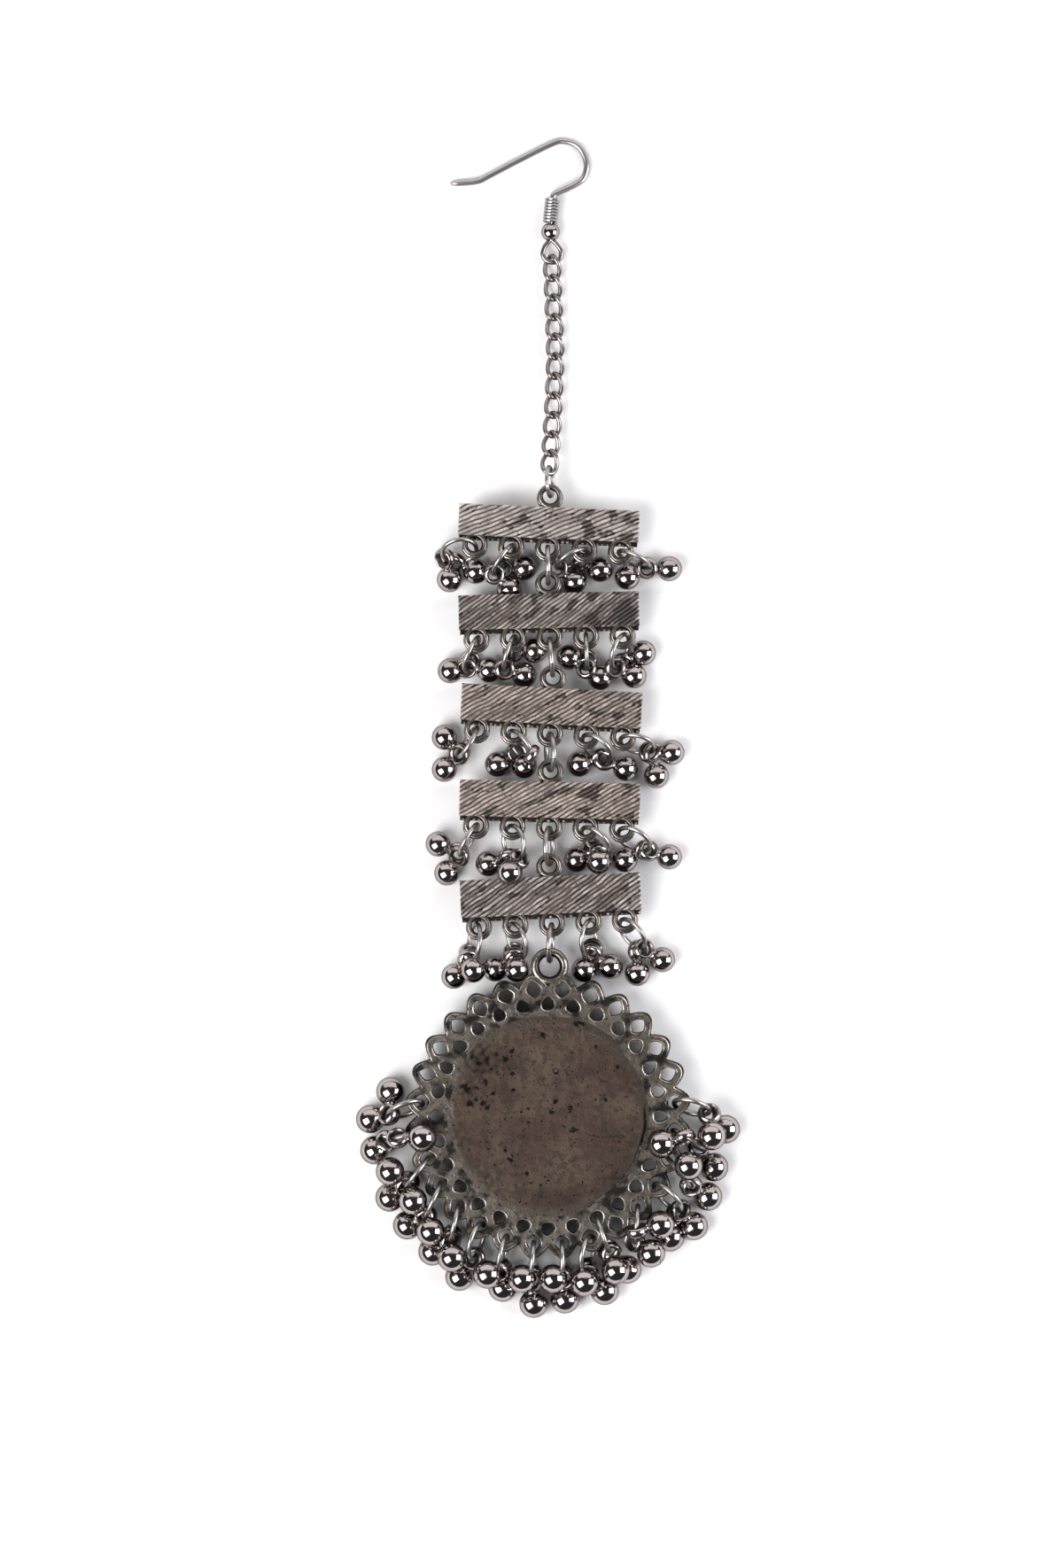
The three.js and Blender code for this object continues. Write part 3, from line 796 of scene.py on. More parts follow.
@dataclass(frozen=True)
class WireRing:
    """Where a jump ring lies, with its size."""

    middle: Vector
    along: Vector
    across: Vector
    radius: float
    wire: float

    @staticmethod
    def hung(start: Vector, towards: Vector, lean: float, diameter: float, wire: float) -> "WireRing":
        """Lays a ring that hangs in one place while its far side points to another.

        Args:
            start: Where it hangs.
            towards: Where its far side points.
            lean: Lean to one side, in degrees.
            diameter: Diameter to the middle of the wire.
            wire: Thickness of the wire.

        Returns:
            The ring.
        """
        along = (towards - start).normalized()
        up = Vector((0, 0, 1))
        up = (up - along * along.z).normalized()
        aside = along.cross(up)
        angle = math.radians(lean)
        across = up * math.cos(angle) + aside * math.sin(angle)
        return WireRing(start + along * (diameter / 2), along, across, diameter / 2, wire)

    @staticmethod
    def between(first: Vector, second: Vector, lean: float, diameter: float, wire: float) -> "WireRing":
        """Lays a ring halfway between the two loops that it joins.

        Args:
            first: Middle of one loop.
            second: Middle of the other.
            lean: Lean to one side, in degrees.
            diameter: Diameter to the middle of the wire.
            wire: Thickness of the wire.

        Returns:
            The ring.
        """
        along = (second - first).normalized()
        start = (first + second) / 2 - along * (diameter / 2)
        return WireRing.hung(start, start + along, lean, diameter, wire)

    def point(self, turn: float) -> Vector:
        """A point on the middle of the wire, turned in degrees from the far side."""
        angle = math.radians(turn)
        return self.middle + (self.along * math.cos(angle) + self.across * math.sin(angle)) * self.radius

    def tangent(self, turn: float) -> Vector:
        """The direction of the wire at such a point."""
        angle = math.radians(turn)
        return self.across * math.cos(angle) - self.along * math.sin(angle)

    def draw(self, form: Form, cut_turn: float) -> None:
        """Adds the ring to a form, with the cut where it was closed.

        Args:
            form: The form.
            cut_turn: Where the cut is, in degrees from the far side.
        """
        axis = self.along.cross(self.across)
        start = self.point(cut_turn) - self.middle
        half = self.wire / 2
        form.ring(self.middle, axis, self.radius, (half, half), 56, 14, start, 0.06)


@dataclass(frozen=True)
class Bell:
    """A round bell with the thick eye that it hangs by."""

    ball: float
    nearest: float
    furthest: float
    eye_outside: float = 2.65
    eye_hole: float = 1.45
    eye_width: float = 1.05
    seat: float = 0.14

    def hang(self, ring: WireRing, aim: Vector, taken: float | None) -> tuple[float, Vector]:
        """Finds where on its ring the bell hangs.

        Args:
            ring: The jump ring.
            aim: Where the ball should lie.
            taken: Where the ring's other bell hangs, in degrees, or None.

        Returns:
            The place on the ring in degrees, and the ball's middle.
        """
        spacing, reach_limit = 20, 120
        wanted = (self.nearest + self.furthest) / 2
        best = None
        for turn in range(-reach_limit, reach_limit + 1, 2):
            if taken is not None and abs(turn - taken) < spacing:
                continue
            misfit = abs((ring.point(turn) - aim).length - wanted) + abs(turn) / 200
            if best is None or misfit < best[0]:
                best = (misfit, turn)
        hold = ring.point(best[1])
        direction = aim - hold
        reach = min(max(direction.length, self.nearest), self.furthest)
        middle = hold + direction.normalized() * reach
        middle.z = max(middle.z, self.ball / 2)
        return best[1], middle

    def eye_reach(self, axis: Vector) -> float:
        """How far the eye reaches below its middle with a given axis."""
        return self.eye_outside / 2 * math.sqrt(max(0.0, 1 - axis.z ** 2)) + self.eye_width / 2 * abs(axis.z)

    def eye_axis(self, wire: Vector, shank: Vector, height: float) -> Vector:
        """Turns the eye about its shank: along the ring's wire, or flatter where it would dip into the surface.

        Args:
            wire: Direction of the ring's wire in the eye.
            shank: Direction from the ball to the eye.
            height: Height of the eye's middle.

        Returns:
            The eye's axis.
        """
        wanted = wire - shank * wire.dot(shank)
        wanted = wanted.normalized() if wanted.length > 0.2 else shank.orthogonal().normalized()
        upright = Vector((0, 0, 1)) - shank * shank.z
        upright = upright.normalized() if upright.length > 0.1 else wanted
        if wanted.dot(upright) < 0:
            upright = -upright
        shares = 10
        for share in range(shares + 1):
            axis = wanted.lerp(upright, share / shares).normalized()
            if height > self.eye_reach(axis):
                return axis
        return upright

    def draw(self, form: Form, ring: WireRing, turn: float, ball: Vector) -> None:
        """Adds the bell to a form, with its eye in the form's second look.

        Args:
            form: The form.
            ring: The jump ring.
            turn: Where on it the bell hangs, in degrees.
            ball: The ball's middle.
        """
        shank = (ring.point(turn) - ball).normalized()
        form.look = 0
        form.ball(ball, self.ball / 2, 44, axis=shank)
        self.slit(form, ball, shank)
        form.look = 1
        middle = ball + shank * (self.ball / 2 + self.eye_outside / 2 - self.seat)
        axis = self.eye_axis(ring.tangent(turn), shank, middle.z)
        middle.z = max(middle.z, self.eye_reach(axis))
        radius = (self.eye_outside + self.eye_hole) / 4
        half = ((self.eye_outside - self.eye_hole) / 4, self.eye_width / 2)
        # The eye's inner side gets painted shade, darker in its hole.
        form.ring(middle, axis, radius, half, 36, 12, inside=0.6)
        collar = [(0.0, -0.1), (0.62, -0.1), (0.6, 0.12), (0.42, 0.3), (0.0, 0.34)]
        form.turned(collar, ball + shank * (self.ball / 2 - 0.12), shank, 24)

    def slit(self, form: Form, ball: Vector, shank: Vector) -> None:
        """Adds the slit across the far side of the ball, as a thin black strip on its surface: painted shade standing
        in for the dark inside of the cut.

        Args:
            form: The form.
            ball: The ball's middle.
            shank: Direction from the ball to the eye.
        """
        side = shank.orthogonal().normalized()
        lift, half_width, steps = 1.004, 0.035, 16
        reach = math.radians(38)
        points, faces = [], []
        for i in range(steps + 1):
            angle = reach * (2 * i / steps - 1)
            outward = side * math.sin(angle) - shank * math.cos(angle)
            across = shank.cross(side)
            taper = half_width * (0.35 + 0.65 * math.sin(math.pi * i / steps))
            for depth in (lift, lift - 0.03):
                for sign in (-1, 1):
                    points.append(ball + outward * (self.ball / 2 * depth) + across * (sign * taper))
        for i in range(steps):
            a = 4 * i
            for first, second in ((0, 1), (1, 3), (3, 2), (2, 0)):
                faces.append((a + first, a + second, a + 4 + second, a + 4 + first))
        faces.append((0, 2, 3, 1))
        last = 4 * steps
        faces.append((last, last + 1, last + 3, last + 2))
        # Painted shade: the strip is black all through, in place of the shaded inside of the slit.
        form.add(points, faces, 0.0, 1.0)


SMALL_BELL = Bell(3.0, 2.4, 3.1)
LARGE_BELL = Bell(3.4, 2.6, 3.35, eye_outside=2.75, eye_hole=1.5, eye_width=1.15)


@dataclass(frozen=True)
class DropPlace:
    """One drop: where it hangs, how its ring lies, and where its two bells lie."""

    hold: int
    towards: Point
    lean: float
    bells: tuple[Point, Point]
    row: Row = Row.OUTER

    def build(self, maker: Maker, node: str, start: Vector, size: tuple[float, float], bell: Bell) -> None:
        """Builds the ring and its two bells as one piece.

        Args:
            maker: Makes the objects.
            node: The node that it stands for.
            start: Middle of the opening or loop that it hangs in.
            size: The ring's diameter to the middle of the wire, and its wire.
            bell: The kind of bell.
        """
        ring = WireRing.hung(start, Vector(self.towards), self.lean, *size)
        form = Form()
        taken = None
        for aim in self.bells:
            taken, ball = bell.hang(ring, Vector(aim), taken)
            bell.draw(form, ring, taken, ball)
        form.look = 2
        ring.draw(form, 150.0)
        piece = maker.mesh(f"{node}_bells", form)
        maker.finish(piece, node, Slot.BELL, BELL_PLATING.name, EYE_PLATING.name, RING_PLATING.name)


@dataclass(frozen=True)
class BarPlace:
    """Place and look of one bar.

    Its pitch and slant are the hatching's spacing and angle, its grooves how black the hollows are, its shine how
    bright the crests are rubbed, and its tarnish how much of the right end has gone black.
    """

    x: float
    y: float
    height: float
    tilt: float
    pitch: float
    slant: float
    grooves: float
    shine: float
    tarnish: float
    seed: float
    drops: tuple[DropPlace, ...]
    casting: OxidisedCasting = BAR_CASTING


BARS = (
    BarPlace(0.1, 70.3, 3.75, -2.5, 0.50, 24.0, 0.55, 1.0, 0.34, 3.1, (
        DropPlace(-2, (-12.5, 66.2, 2.4), 40, ((-11.7, 63.6, 1.5), (-8.6, 64.6, 1.5))),
        DropPlace(-1, (-5.6, 65.3, 2.1), 15, ((-4.6, 62.5, 1.5), (-2.8, 65.0, 1.5))),
        DropPlace(1, (1.8, 65.3, 2.0), 20, ((3.1, 63.4, 1.5), (6.2, 64.8, 1.5))),
        DropPlace(2, (11.7, 65.1, 2.0), -15, ((14.4, 64.9, 1.5), (9.4, 63.9, 1.5))),
    )),
    BarPlace(0.1, 59.9, 4.1, 1.4, 0.43, 36.0, 1.0, 0.20, 0.34, 11.4, (
        DropPlace(-2, (-9.6, 53.5, 1.8), 10, ((-11.6, 52.8, 1.5), (-7.0, 52.9, 1.5))),
        DropPlace(-1, (-4.9, 53.5, 1.8), 10, ((-2.8, 52.3, 1.5), (-1.6, 55.2, 1.5))),
        DropPlace(1, (4.6, 53.6, 1.8), 0, ((6.2, 52.0, 1.5), (2.5, 54.4, 1.5))),
        DropPlace(2, (8.3, 53.2, 1.9), 26, ((11.3, 54.9, 1.5), (10.2, 52.2, 1.5))),
    )),
    BarPlace(0.4, 48.6, 4.3, -3.0, 0.47, 33.0, 0.80, 0.60, 0.24, 23.9, (
        DropPlace(-2, (-10.6, 42.8, 1.9), -10, ((-12.3, 44.9, 1.5), (-12.3, 41.1, 1.5))),
        DropPlace(-1, (-2.7, 42.7, 2.1), -26, ((-2.8, 41.5, 1.5), (-6.0, 41.7, 1.5))),
        DropPlace(1, (7.2, 42.0, 2.0), -31, ((9.2, 41.2, 1.5), (3.7, 41.7, 1.5))),
        DropPlace(2, (12.2, 43.3, 2.0), -30, ((14.7, 43.1, 1.5), (12.9, 40.1, 1.5))),
    ), BROWN_BAR_CASTING),
    BarPlace(0.2, 37.5, 4.3, -1.4, 0.46, 30.0, 0.72, 0.70, 0.26, 37.2, (
        DropPlace(-2, (-10.6, 30.3, 1.9), 10, ((-13.4, 32.4, 1.5), (-12.0, 28.8, 1.5))),
        DropPlace(-1, (-3.9, 30.4, 3.0), -35, ((-4.5, 28.9, 5.7), (-7.1, 29.9, 1.5))),
        DropPlace(1, (6.9, 31.0, 2.2), -30, ((6.0, 30.2, 3.1), (3.4, 30.4, 1.5))),
        DropPlace(2, (11.9, 31.2, 2.0), -35, ((14.4, 30.7, 1.5), (9.2, 30.4, 1.5))),
    ), BROWN_BAR_CASTING),
    BarPlace(0.3, 26.2, 4.45, 2.7, 0.48, 33.0, 1.0, 0.38, 0.20, 48.6, (
        DropPlace(-2, (-9.1, 19.3, 2.0), -20, ((-8.9, 17.3, 3.2), (-11.2, 16.5, 1.5))),
        DropPlace(-1, (-3.5, 18.9, 1.9), -30, ((-3.7, 17.4, 3.0), (-6.3, 17.4, 1.5))),
        DropPlace(1, (4.9, 19.3, 2.0), 26, ((4.3, 17.3, 1.5), (7.4, 17.7, 1.5))),
        DropPlace(2, (11.0, 19.7, 2.0), -30, ((13.6, 18.5, 1.5), (10.6, 16.7, 1.5))),
    )),
)

PENDANT_DROPS = (
    DropPlace(6, (18.7, 0.6, 3.4), -22, ((19.4, -2.7, 5.6), (21.1, -1.6, 1.7))),
    DropPlace(7, (18.6, -4.2, 2.0), -8, ((13.4, -3.2, 5.9), (19.7, -6.1, 1.7))),
    DropPlace(8, (16.9, -8.2, 3.2), 0, ((16.6, -5.8, 5.8), (19.0, -9.6, 1.7))),
    DropPlace(9, (15.6, -11.2, 3.0), -20, ((14.3, -15.3, 1.7), (17.3, -13.1, 1.7))),
    DropPlace(10, (10.3, -14.8, 3.0), 0, ((13.3, -12.8, 5.0), (12.2, -16.2, 4.5))),
    DropPlace(12, (7.2, -16.0, 3.2), 0, ((8.0, -18.2, 4.5), (10.4, -19.2, 1.7)), Row.INNER),
    DropPlace(12, (4.5, -18.1, 3.0), 20, ((4.3, -19.6, 4.5), (7.0, -21.1, 1.7))),
    DropPlace(13, (1.7, -18.4, 3.0), 0, ((0.6, -19.2, 4.5), (2.0, -21.8, 1.7))),
    DropPlace(14, (-2.0, -18.4, 3.0), 0, ((-3.1, -19.2, 4.5), (-1.7, -22.4, 1.7))),
    DropPlace(15, (-5.6, -17.9, 3.0), 10, ((-7.2, -18.7, 4.5), (-5.4, -20.4, 1.7))),
    DropPlace(16, (-8.8, -16.3, 3.0), 20, ((-11.4, -16.7, 4.7), (-10.5, -19.1, 1.7))),
    DropPlace(17, (-11.4, -14.0, 3.0), 0, ((-13.9, -13.6, 4.6), (-13.7, -16.1, 1.7))),
    DropPlace(18, (-14.2, -11.2, 3.0), 0, ((-16.0, -10.0, 4.5), (-16.7, -13.0, 1.7))),
    DropPlace(19, (-16.4, -7.7, 3.0), 0, ((-18.7, -6.5, 4.5), (-18.8, -9.7, 1.7))),
    DropPlace(20, (-18.8, -2.8, 3.6), 0, ((-14.9, -2.5, 5.9), (-20.6, -4.1, 1.7))),
    DropPlace(21, (-18.6, 0.1, 3.0), 20, ((-18.7, 2.9, 1.7), (-21.1, -0.4, 1.7))),
)


@dataclass
class HatchedBar:
    """A cast bar: hatched back plate, plain front body, six loops and a beaded lower edge."""

    place: BarPlace
    length: float = 21.4
    plate_top: float = 4.0
    plate_bottom: float = 3.05
    body_inset: float = 1.1
    ridge: float = 0.10
    cell: float = 0.072
    loop_outside: float = 3.1
    loop_hole: float = 1.66
    loop_height: float = 3.5
    loop_rise: float = 1.25
    loop_drop: float = 1.05
    loop_spacing: float = 4.33

    def matrix(self) -> Matrix:
        """Turn and move from the bar's own middle to the drawing."""
        turn = Matrix.Rotation(math.radians(self.place.tilt), 4, "Z")
        return Matrix.Translation((self.place.x, self.place.y, 0.0)) @ turn

    def loop(self, number: int | None) -> Vector:
        """Middle of a loop in the drawing: None is the upper one, and numbers count the lower ones."""
        half = self.place.height / 2
        own = (0.0, half + self.loop_rise) if number is None else (number * self.loop_spacing, -half - self.loop_drop)
        return self.matrix() @ Vector((*own, self.loop_height))

    def relief(self, u: float, v: float) -> tuple[float, float, float]:
        """Height of the hatched back at a place, and how rubbed and how black it is there.

        Args:
            u: Place along the bar.
            v: Place across the bar.

        Returns:
            Height below the plate's top, rub and blackness.
        """
        place = self.place
        slant = math.radians(place.slant)
        drift = noise.noise(Vector((u * 0.35, v * 0.5, place.seed)))
        wobble = noise.noise(Vector((u * 1.3, v * 1.3, place.seed + 5)))
        s = (u * math.sin(slant) - v * math.cos(slant)) / place.pitch + 0.35 * drift + 0.10 * wobble
        crest = 1 - abs(2 * (s - math.floor(s)) - 1)
        along = u * math.cos(slant) + v * math.sin(slant)
        over = u * math.sin(slant) - v * math.cos(slant)
        fine = noise.noise(Vector((along * 1.1, math.floor(s) * 3.7, place.seed + 7)))
        worn = noise.noise(Vector((u * 0.35, v * 0.9, place.seed + 9)))
        broken = noise.noise(Vector((along * 0.6, over * 1.1, place.seed + 2)))
        ragged = noise.noise(Vector((along * 2.2, over * 3.4, place.seed + 3)))
        spread = place.tarnish * (0.4 + 1.3 * (u / self.length + 0.5) ** 2) + 0.45 * worn + 0.4 * ragged
        lost = min(max((broken + spread - 0.42) * 3, 0), 1)
        depth = self.ridge * (1 - crest) ** 1.4 + 0.06 * lost
        edge = min(self.length / 2 - abs(u), place.height / 2 - abs(v))
        rounding = 0.16 * max(0.0, 1 - edge / 0.2) ** 2
        strand = noise.noise(Vector((math.floor(s) * 1.37, along * 0.18, place.seed + 31)))
        groove = min(1.0, max(0.0, (0.5 - crest) / 0.3))
        black = groove * place.grooves * (0.85 + 0.5 * fine - 0.5 * strand) + lost * (0.58 + 0.42 * groove)
        crown = min(1.0, max(0.0, (crest - 0.32) / 0.3))
        rub = crown * (place.shine + 0.8 * fine + 0.9 * strand) * (1 - 0.75 * lost)
        rub += 0.5 if edge < 0.1 else 0.0
        return depth + rounding, min(max(rub, 0.0), 1.0), min(max(black, 0.0), 1.0)

    def plate(self, form: Form) -> None:
        """Adds the back plate with its ridges."""
        columns = round(self.length / self.cell)
        lines = round(self.place.height / self.cell)
        points, rub, black = [], [], []
        for j in range(lines + 1):
            v = self.place.height * (j / lines - 0.5)
            for i in range(columns + 1):
                u = self.length * (i / columns - 0.5)
                drop, bright, dark = self.relief(u, v)
                ragged = 0.05 * noise.noise(Vector((u * 2.2, v * 2.2, self.place.seed + 20)))
                shrink = 1 + ragged / 2 if abs(v) > self.place.height / 2 - 0.2 else 1.0
                points.append(Vector((u, v * shrink, self.plate_top - drop)))
                rub.append(bright)
                black.append(dark)
        wide = columns + 1
        faces = [(j * wide + i, j * wide + i + 1, (j + 1) * wide + i + 1, (j + 1) * wide + i)
                 for j in range(lines) for i in range(columns)]
        rim = [i for i in range(wide)]
        rim += [j * wide + columns for j in range(1, lines + 1)]
        rim += [lines * wide + i for i in range(columns - 1, -1, -1)]
        rim += [j * wide for j in range(lines - 1, 0, -1)]
        start = len(points)
        for k in rim:
            low = points[k].copy()
            low.z = self.plate_bottom
            points.append(low)
            rub.append(0.1)
            black.append(0.75)
        count = len(rim)
        for k in range(count):
            n = (k + 1) % count
            faces.append((rim[n], rim[k], start + k, start + n))
        faces.append(tuple(start + k for k in range(count - 1, -1, -1)))
        first = len(form.points)
        form.add(points, faces)
        form.rub[first:] = rub
        form.hollow[first:] = black

    def body(self, form: Form) -> None:
        """Adds the plain front body, with softened edges."""
        half_x = self.length / 2 - self.body_inset
        half_y = self.place.height / 2 - self.body_inset
        levels = ((0.0, 0.35), (0.12, 0.12), (0.35, 0.0), (self.plate_bottom, 0.0))
        points, faces = [], []
        for z, inset in levels:
            x, y = half_x - inset, half_y - inset
            points += [Vector((-x, -y, z)), Vector((x, -y, z)), Vector((x, y, z)), Vector((-x, y, z))]
        for level in range(len(levels) - 1):
            for k in range(4):
                n = (k + 1) % 4
                faces.append((4 * level + k, 4 * level + n, 4 * level + 4 + n, 4 * level + 4 + k))
        faces.append((3, 2, 1, 0))
        top = 4 * (len(levels) - 1)
        faces.append((top, top + 1, top + 2, top + 3))
        form.add(points, faces, 0.1, 0.5)

    def front_edge(self, form: Form) -> None:
        """Adds the lower edge of the front, painted black as shade under the plate's edge, with its row of small
        bright beads.
        """
        reach = self.place.height / 2
        low, high = self.plate_bottom - 0.5, self.plate_bottom + 0.35
        inner, outer = -reach + 0.3, -reach - 0.55
        half = self.length / 2 - 0.12
        points = [Vector((x, y, z)) for z in (low, high) for x, y in (
            (-half, outer), (half, outer), (half, inner), (-half, inner))]
        faces = [(3, 2, 1, 0), (4, 5, 6, 7), (0, 1, 5, 4), (1, 2, 6, 5), (2, 3, 7, 6), (3, 0, 4, 7)]
        # Painted shade: the strip is coloured black where the plate's lower edge shadows it.
        form.add(points, faces, 0.0, 0.95)
        spacing = 0.62
        count = int(2 * half / spacing)
        for i in range(count):
            u = (i - (count - 1) / 2) * spacing
            share = noise.noise(Vector((u * 1.7, self.place.seed, 1.0)))
            middle = Vector((u + 0.5 * share, outer + 0.13 + 0.2 * share, high - 0.04))
            form.ball(middle, 0.16 + 0.12 * share, 12, max(0.0, 0.35 + share), 0.2)

    def loops(self, form: Form) -> None:
        """Adds the six loops: each a back ring with a slightly larger, brighter front ring under it."""
        radius = (self.loop_outside + self.loop_hole) / 4
        half = ((self.loop_outside - self.loop_hole) / 4, 0.30)
        reach = self.place.height / 2
        spots = [(0.0, reach + self.loop_rise)]
        spots += [(n * self.loop_spacing, -reach - self.loop_drop) for n in range(-2, 3)]
        upright = Vector((0, 0, 1))
        form.look = 1
        for x, y in spots:
            middle = Vector((x, y, self.loop_height + 0.08))
            # Both rings get painted shade on their inner sides, black in the loop's hole.
            form.ring(middle, upright, radius - 0.04, (half[0] - 0.04, half[1]), 40, 14, rub=0.22, inside=0.95)
            below = Vector((x, y - 0.16, self.loop_height - 0.42))
            form.ring(below, upright, radius + 0.05, (half[0] - 0.03, 0.26), 40, 14, rub=0.65, inside=0.98)
            foot = Vector((x, math.copysign(reach - 0.05, y), self.loop_height - 0.15))
            for side in (-0.8, 0.8):
                form.ball(foot + Vector((side, 0, 0)), 0.32, 14, 0.0, 0.8)

    def build(self, maker: Maker, number: int) -> None:
        """Builds the bar as one piece.

        Args:
            maker: Makes the objects.
            number: The bar's number, from the top.
        """
        form = Form()
        self.plate(form)
        self.body(form)
        self.front_edge(form)
        self.loops(form)
        form.move(self.matrix())
        piece = maker.mesh(f"hatched_bar_{number}", form)
        maker.finish(piece, f"bar_{number}", Slot.BAR, self.place.casting.name, LOOP_CASTING.name)


@dataclass
class Pendant:
    """The round plate: pierced border, worn back disc, plain front and the ring that it hangs by."""

    border_top: float = 4.15
    border_bottom: float = 2.5
    skirt_bottom: float = 1.3
    skirt_radius: float = 14.35
    skirt_inset: float = 0.5
    ledge: float = 3.8
    boss_radius: float = 11.9
    disc_radius: float = 12.45
    disc_rise: float = 0.03
    tip_radius: float = 17.0
    valley_radius: float = 15.55
    edge_inset: float = 0.26
    rim_gap: float = 0.09
    rim: float = 0.065
    repeats: int = 28
    outer_radius: float = 15.07
    inner_radius: float = 13.3
    bevel: float = 0.09
    hang_height: float = 3.675
    ring_middle: tuple[float, float] = (0.18, 17.75)
    ring_outside: float = 4.5
    ring_hole: float = 2.4
    pits: tuple[tuple[float, float, float], ...] = (
        (0.9, 5.4, 0.22), (2.5, 5.2, 0.2), (0.9, 1.8, 0.2), (2.6, 1.0, 0.24), (0.4, 0.5, 0.2),
        (6.8, 2.0, 0.18), (3.0, -1.6, 0.22), (-9.3, 1.5, 0.28), (-7.7, 1.5, 0.22), (-7.2, 1.0, 0.2),
        (-0.6, 9.6, 0.22), (4.0, 11.2, 0.35), (3.3, 10.9, 0.2), (-5.0, 6.8, 0.24), (-8.2, 6.3, 0.26),
        (-4.2, 5.1, 0.2), (-4.1, 3.15, 0.18), (-2.5, -6.7, 0.18), (-4.4, -5.2, 0.2), (-5.1, -4.0, 0.16),
        (-7.4, 4.1, 0.2), (-6.5, 2.7, 0.16), (-6.7, 5.6, 0.14), (-6.0, 5.3, 0.12), (-6.1, 7.3, 0.15),
        (-4.3, 7.7, 0.2), (-10.1, 3.6, 0.2), (-9.6, 3.15, 0.26), (-8.5, 3.35, 0.12), (-8.5, 2.0, 0.16),
        (8.3, 5.8, 0.2), (8.9, 7.9, 0.26), (5.7, 8.2, 0.15), (-9.0, 7.0, 0.22),
    )
    smudges: tuple[tuple[float, float, float, float], ...] = (
        (-8.0, 6.9, 2.6, 0.75), (3.7, 11.0, 0.9, 0.9), (-9.7, 3.2, 1.2, 0.6), (8.0, -8.4, 2.2, 0.3),
        (-6.4, -8.2, 2.6, 0.32), (-10.6, -2.5, 1.6, 0.35), (10.2, 3.6, 1.2, 0.45),
    )
    cracks: tuple[tuple[float, float, float, float], ...] = (
        (4.5, -2.0, 6.0, -2.5), (6.0, -2.5, 9.2, -2.3), (2.4, 7.9, 3.4, 7.5), (6.0, 2.5, 7.4, 2.45),
        (6.2, 4.2, 7.2, 4.1), (2.9, -5.4, 3.5, -4.6),
    )

    def opening_middle(self, row: Row, number: int) -> Vector:
        """Middle of an opening, counted clockwise from the top in its own row."""
        step = 2 * math.pi / self.repeats
        outer = row is Row.OUTER
        angle = (number + 0.5) * step if outer else number * step
        radius = self.outer_radius if outer else self.inner_radius
        return Vector((radius * math.sin(angle), radius * math.cos(angle), self.hang_height))

    @staticmethod
    def softened(corners: Sequence[tuple[float, float]], times: int) -> list[tuple[float, float]]:
        """Rounds the corners of a closed outline.

        Args:
            corners: The outline.
            times: How often its corners are cut.

        Returns:
            The rounded outline.
        """
        held = list(corners)
        for _ in range(times):
            cut = []
            for (ax, ay), (bx, by) in zip(held, held[1:] + held[:1]):
                cut.append((0.78 * ax + 0.22 * bx, 0.78 * ay + 0.22 * by))
                cut.append((0.22 * ax + 0.78 * bx, 0.22 * ay + 0.78 * by))
            held = cut
        return held

    def edge_outline(self, inset: float) -> list[tuple[float, float]]:
        """Scalloped outline of the border.

        Args:
            inset: How far inside the true edge it runs.

        Returns:
            The closed outline.
        """
        step = 2 * math.pi / self.repeats
        rise = self.tip_radius - self.valley_radius
        edge = []
        for i in range(self.repeats):
            uneven = 0.08 * noise.noise(Vector((i * 2.3, 1.0, 9.0)))
            for share, lift in ((0.0, 0.0), (0.09, 0.28), (0.20, 0.58), (0.31, 0.84), (0.41, 0.97), (0.5, 1.0),
                                (0.59, 0.97), (0.69, 0.84), (0.80, 0.58), (0.91, 0.28)):
                angle = (i + share) * step
                radius = self.valley_radius + rise * lift + uneven * lift - inset
                edge.append((radius * math.sin(angle), radius * math.cos(angle)))
        return self.softened(edge, 1)

    def hole_outlines(self, widen: float) -> list[list[tuple[float, float]]]:
        """Outlines of all the openings.

        Args:
            widen: How far outside the true opening they run.

        Returns:
            The closed outlines.
        """
        step = 2 * math.pi / self.repeats
        outer = ((0, 0.98), (0.36, 0.76), (0.72, 0.36), (0.88, 0.0), (0.68, -0.40), (0.34, -0.72), (0, -0.92),
                 (-0.34, -0.72), (-0.68, -0.40), (-0.88, 0.0), (-0.72, 0.36), (-0.36, 0.76))
        inner = ((0, 0.88), (0.40, 0.62), (0.74, 0.14), (0.70, -0.40), (0.30, -0.68), (-0.30, -0.68),
                 (-0.70, -0.40), (-0.74, 0.14), (-0.40, 0.62))
        holes = []
        for i in range(self.repeats):
            for corners, angle, radius in ((outer, (i + 0.5) * step, self.outer_radius),
                                           (inner, i * step, self.inner_radius)):
                jitter = noise.noise(Vector((i * 1.7, radius, 4.0)))
                lean = 0.30 * noise.noise(Vector((i * 2.9, radius, 14.0)))
                hole = []
                for x, y in self.softened(corners, 1):
                    grow = 1 + widen / 0.8
                    x, y = x * (1 + 0.20 * jitter) * grow + lean * y, y * (1 - 0.10 * jitter) * grow + radius
                    hole.append((x * math.cos(angle) + y * math.sin(angle), y * math.cos(angle) - x * math.sin(angle)))
                holes.append(hole)
        return holes

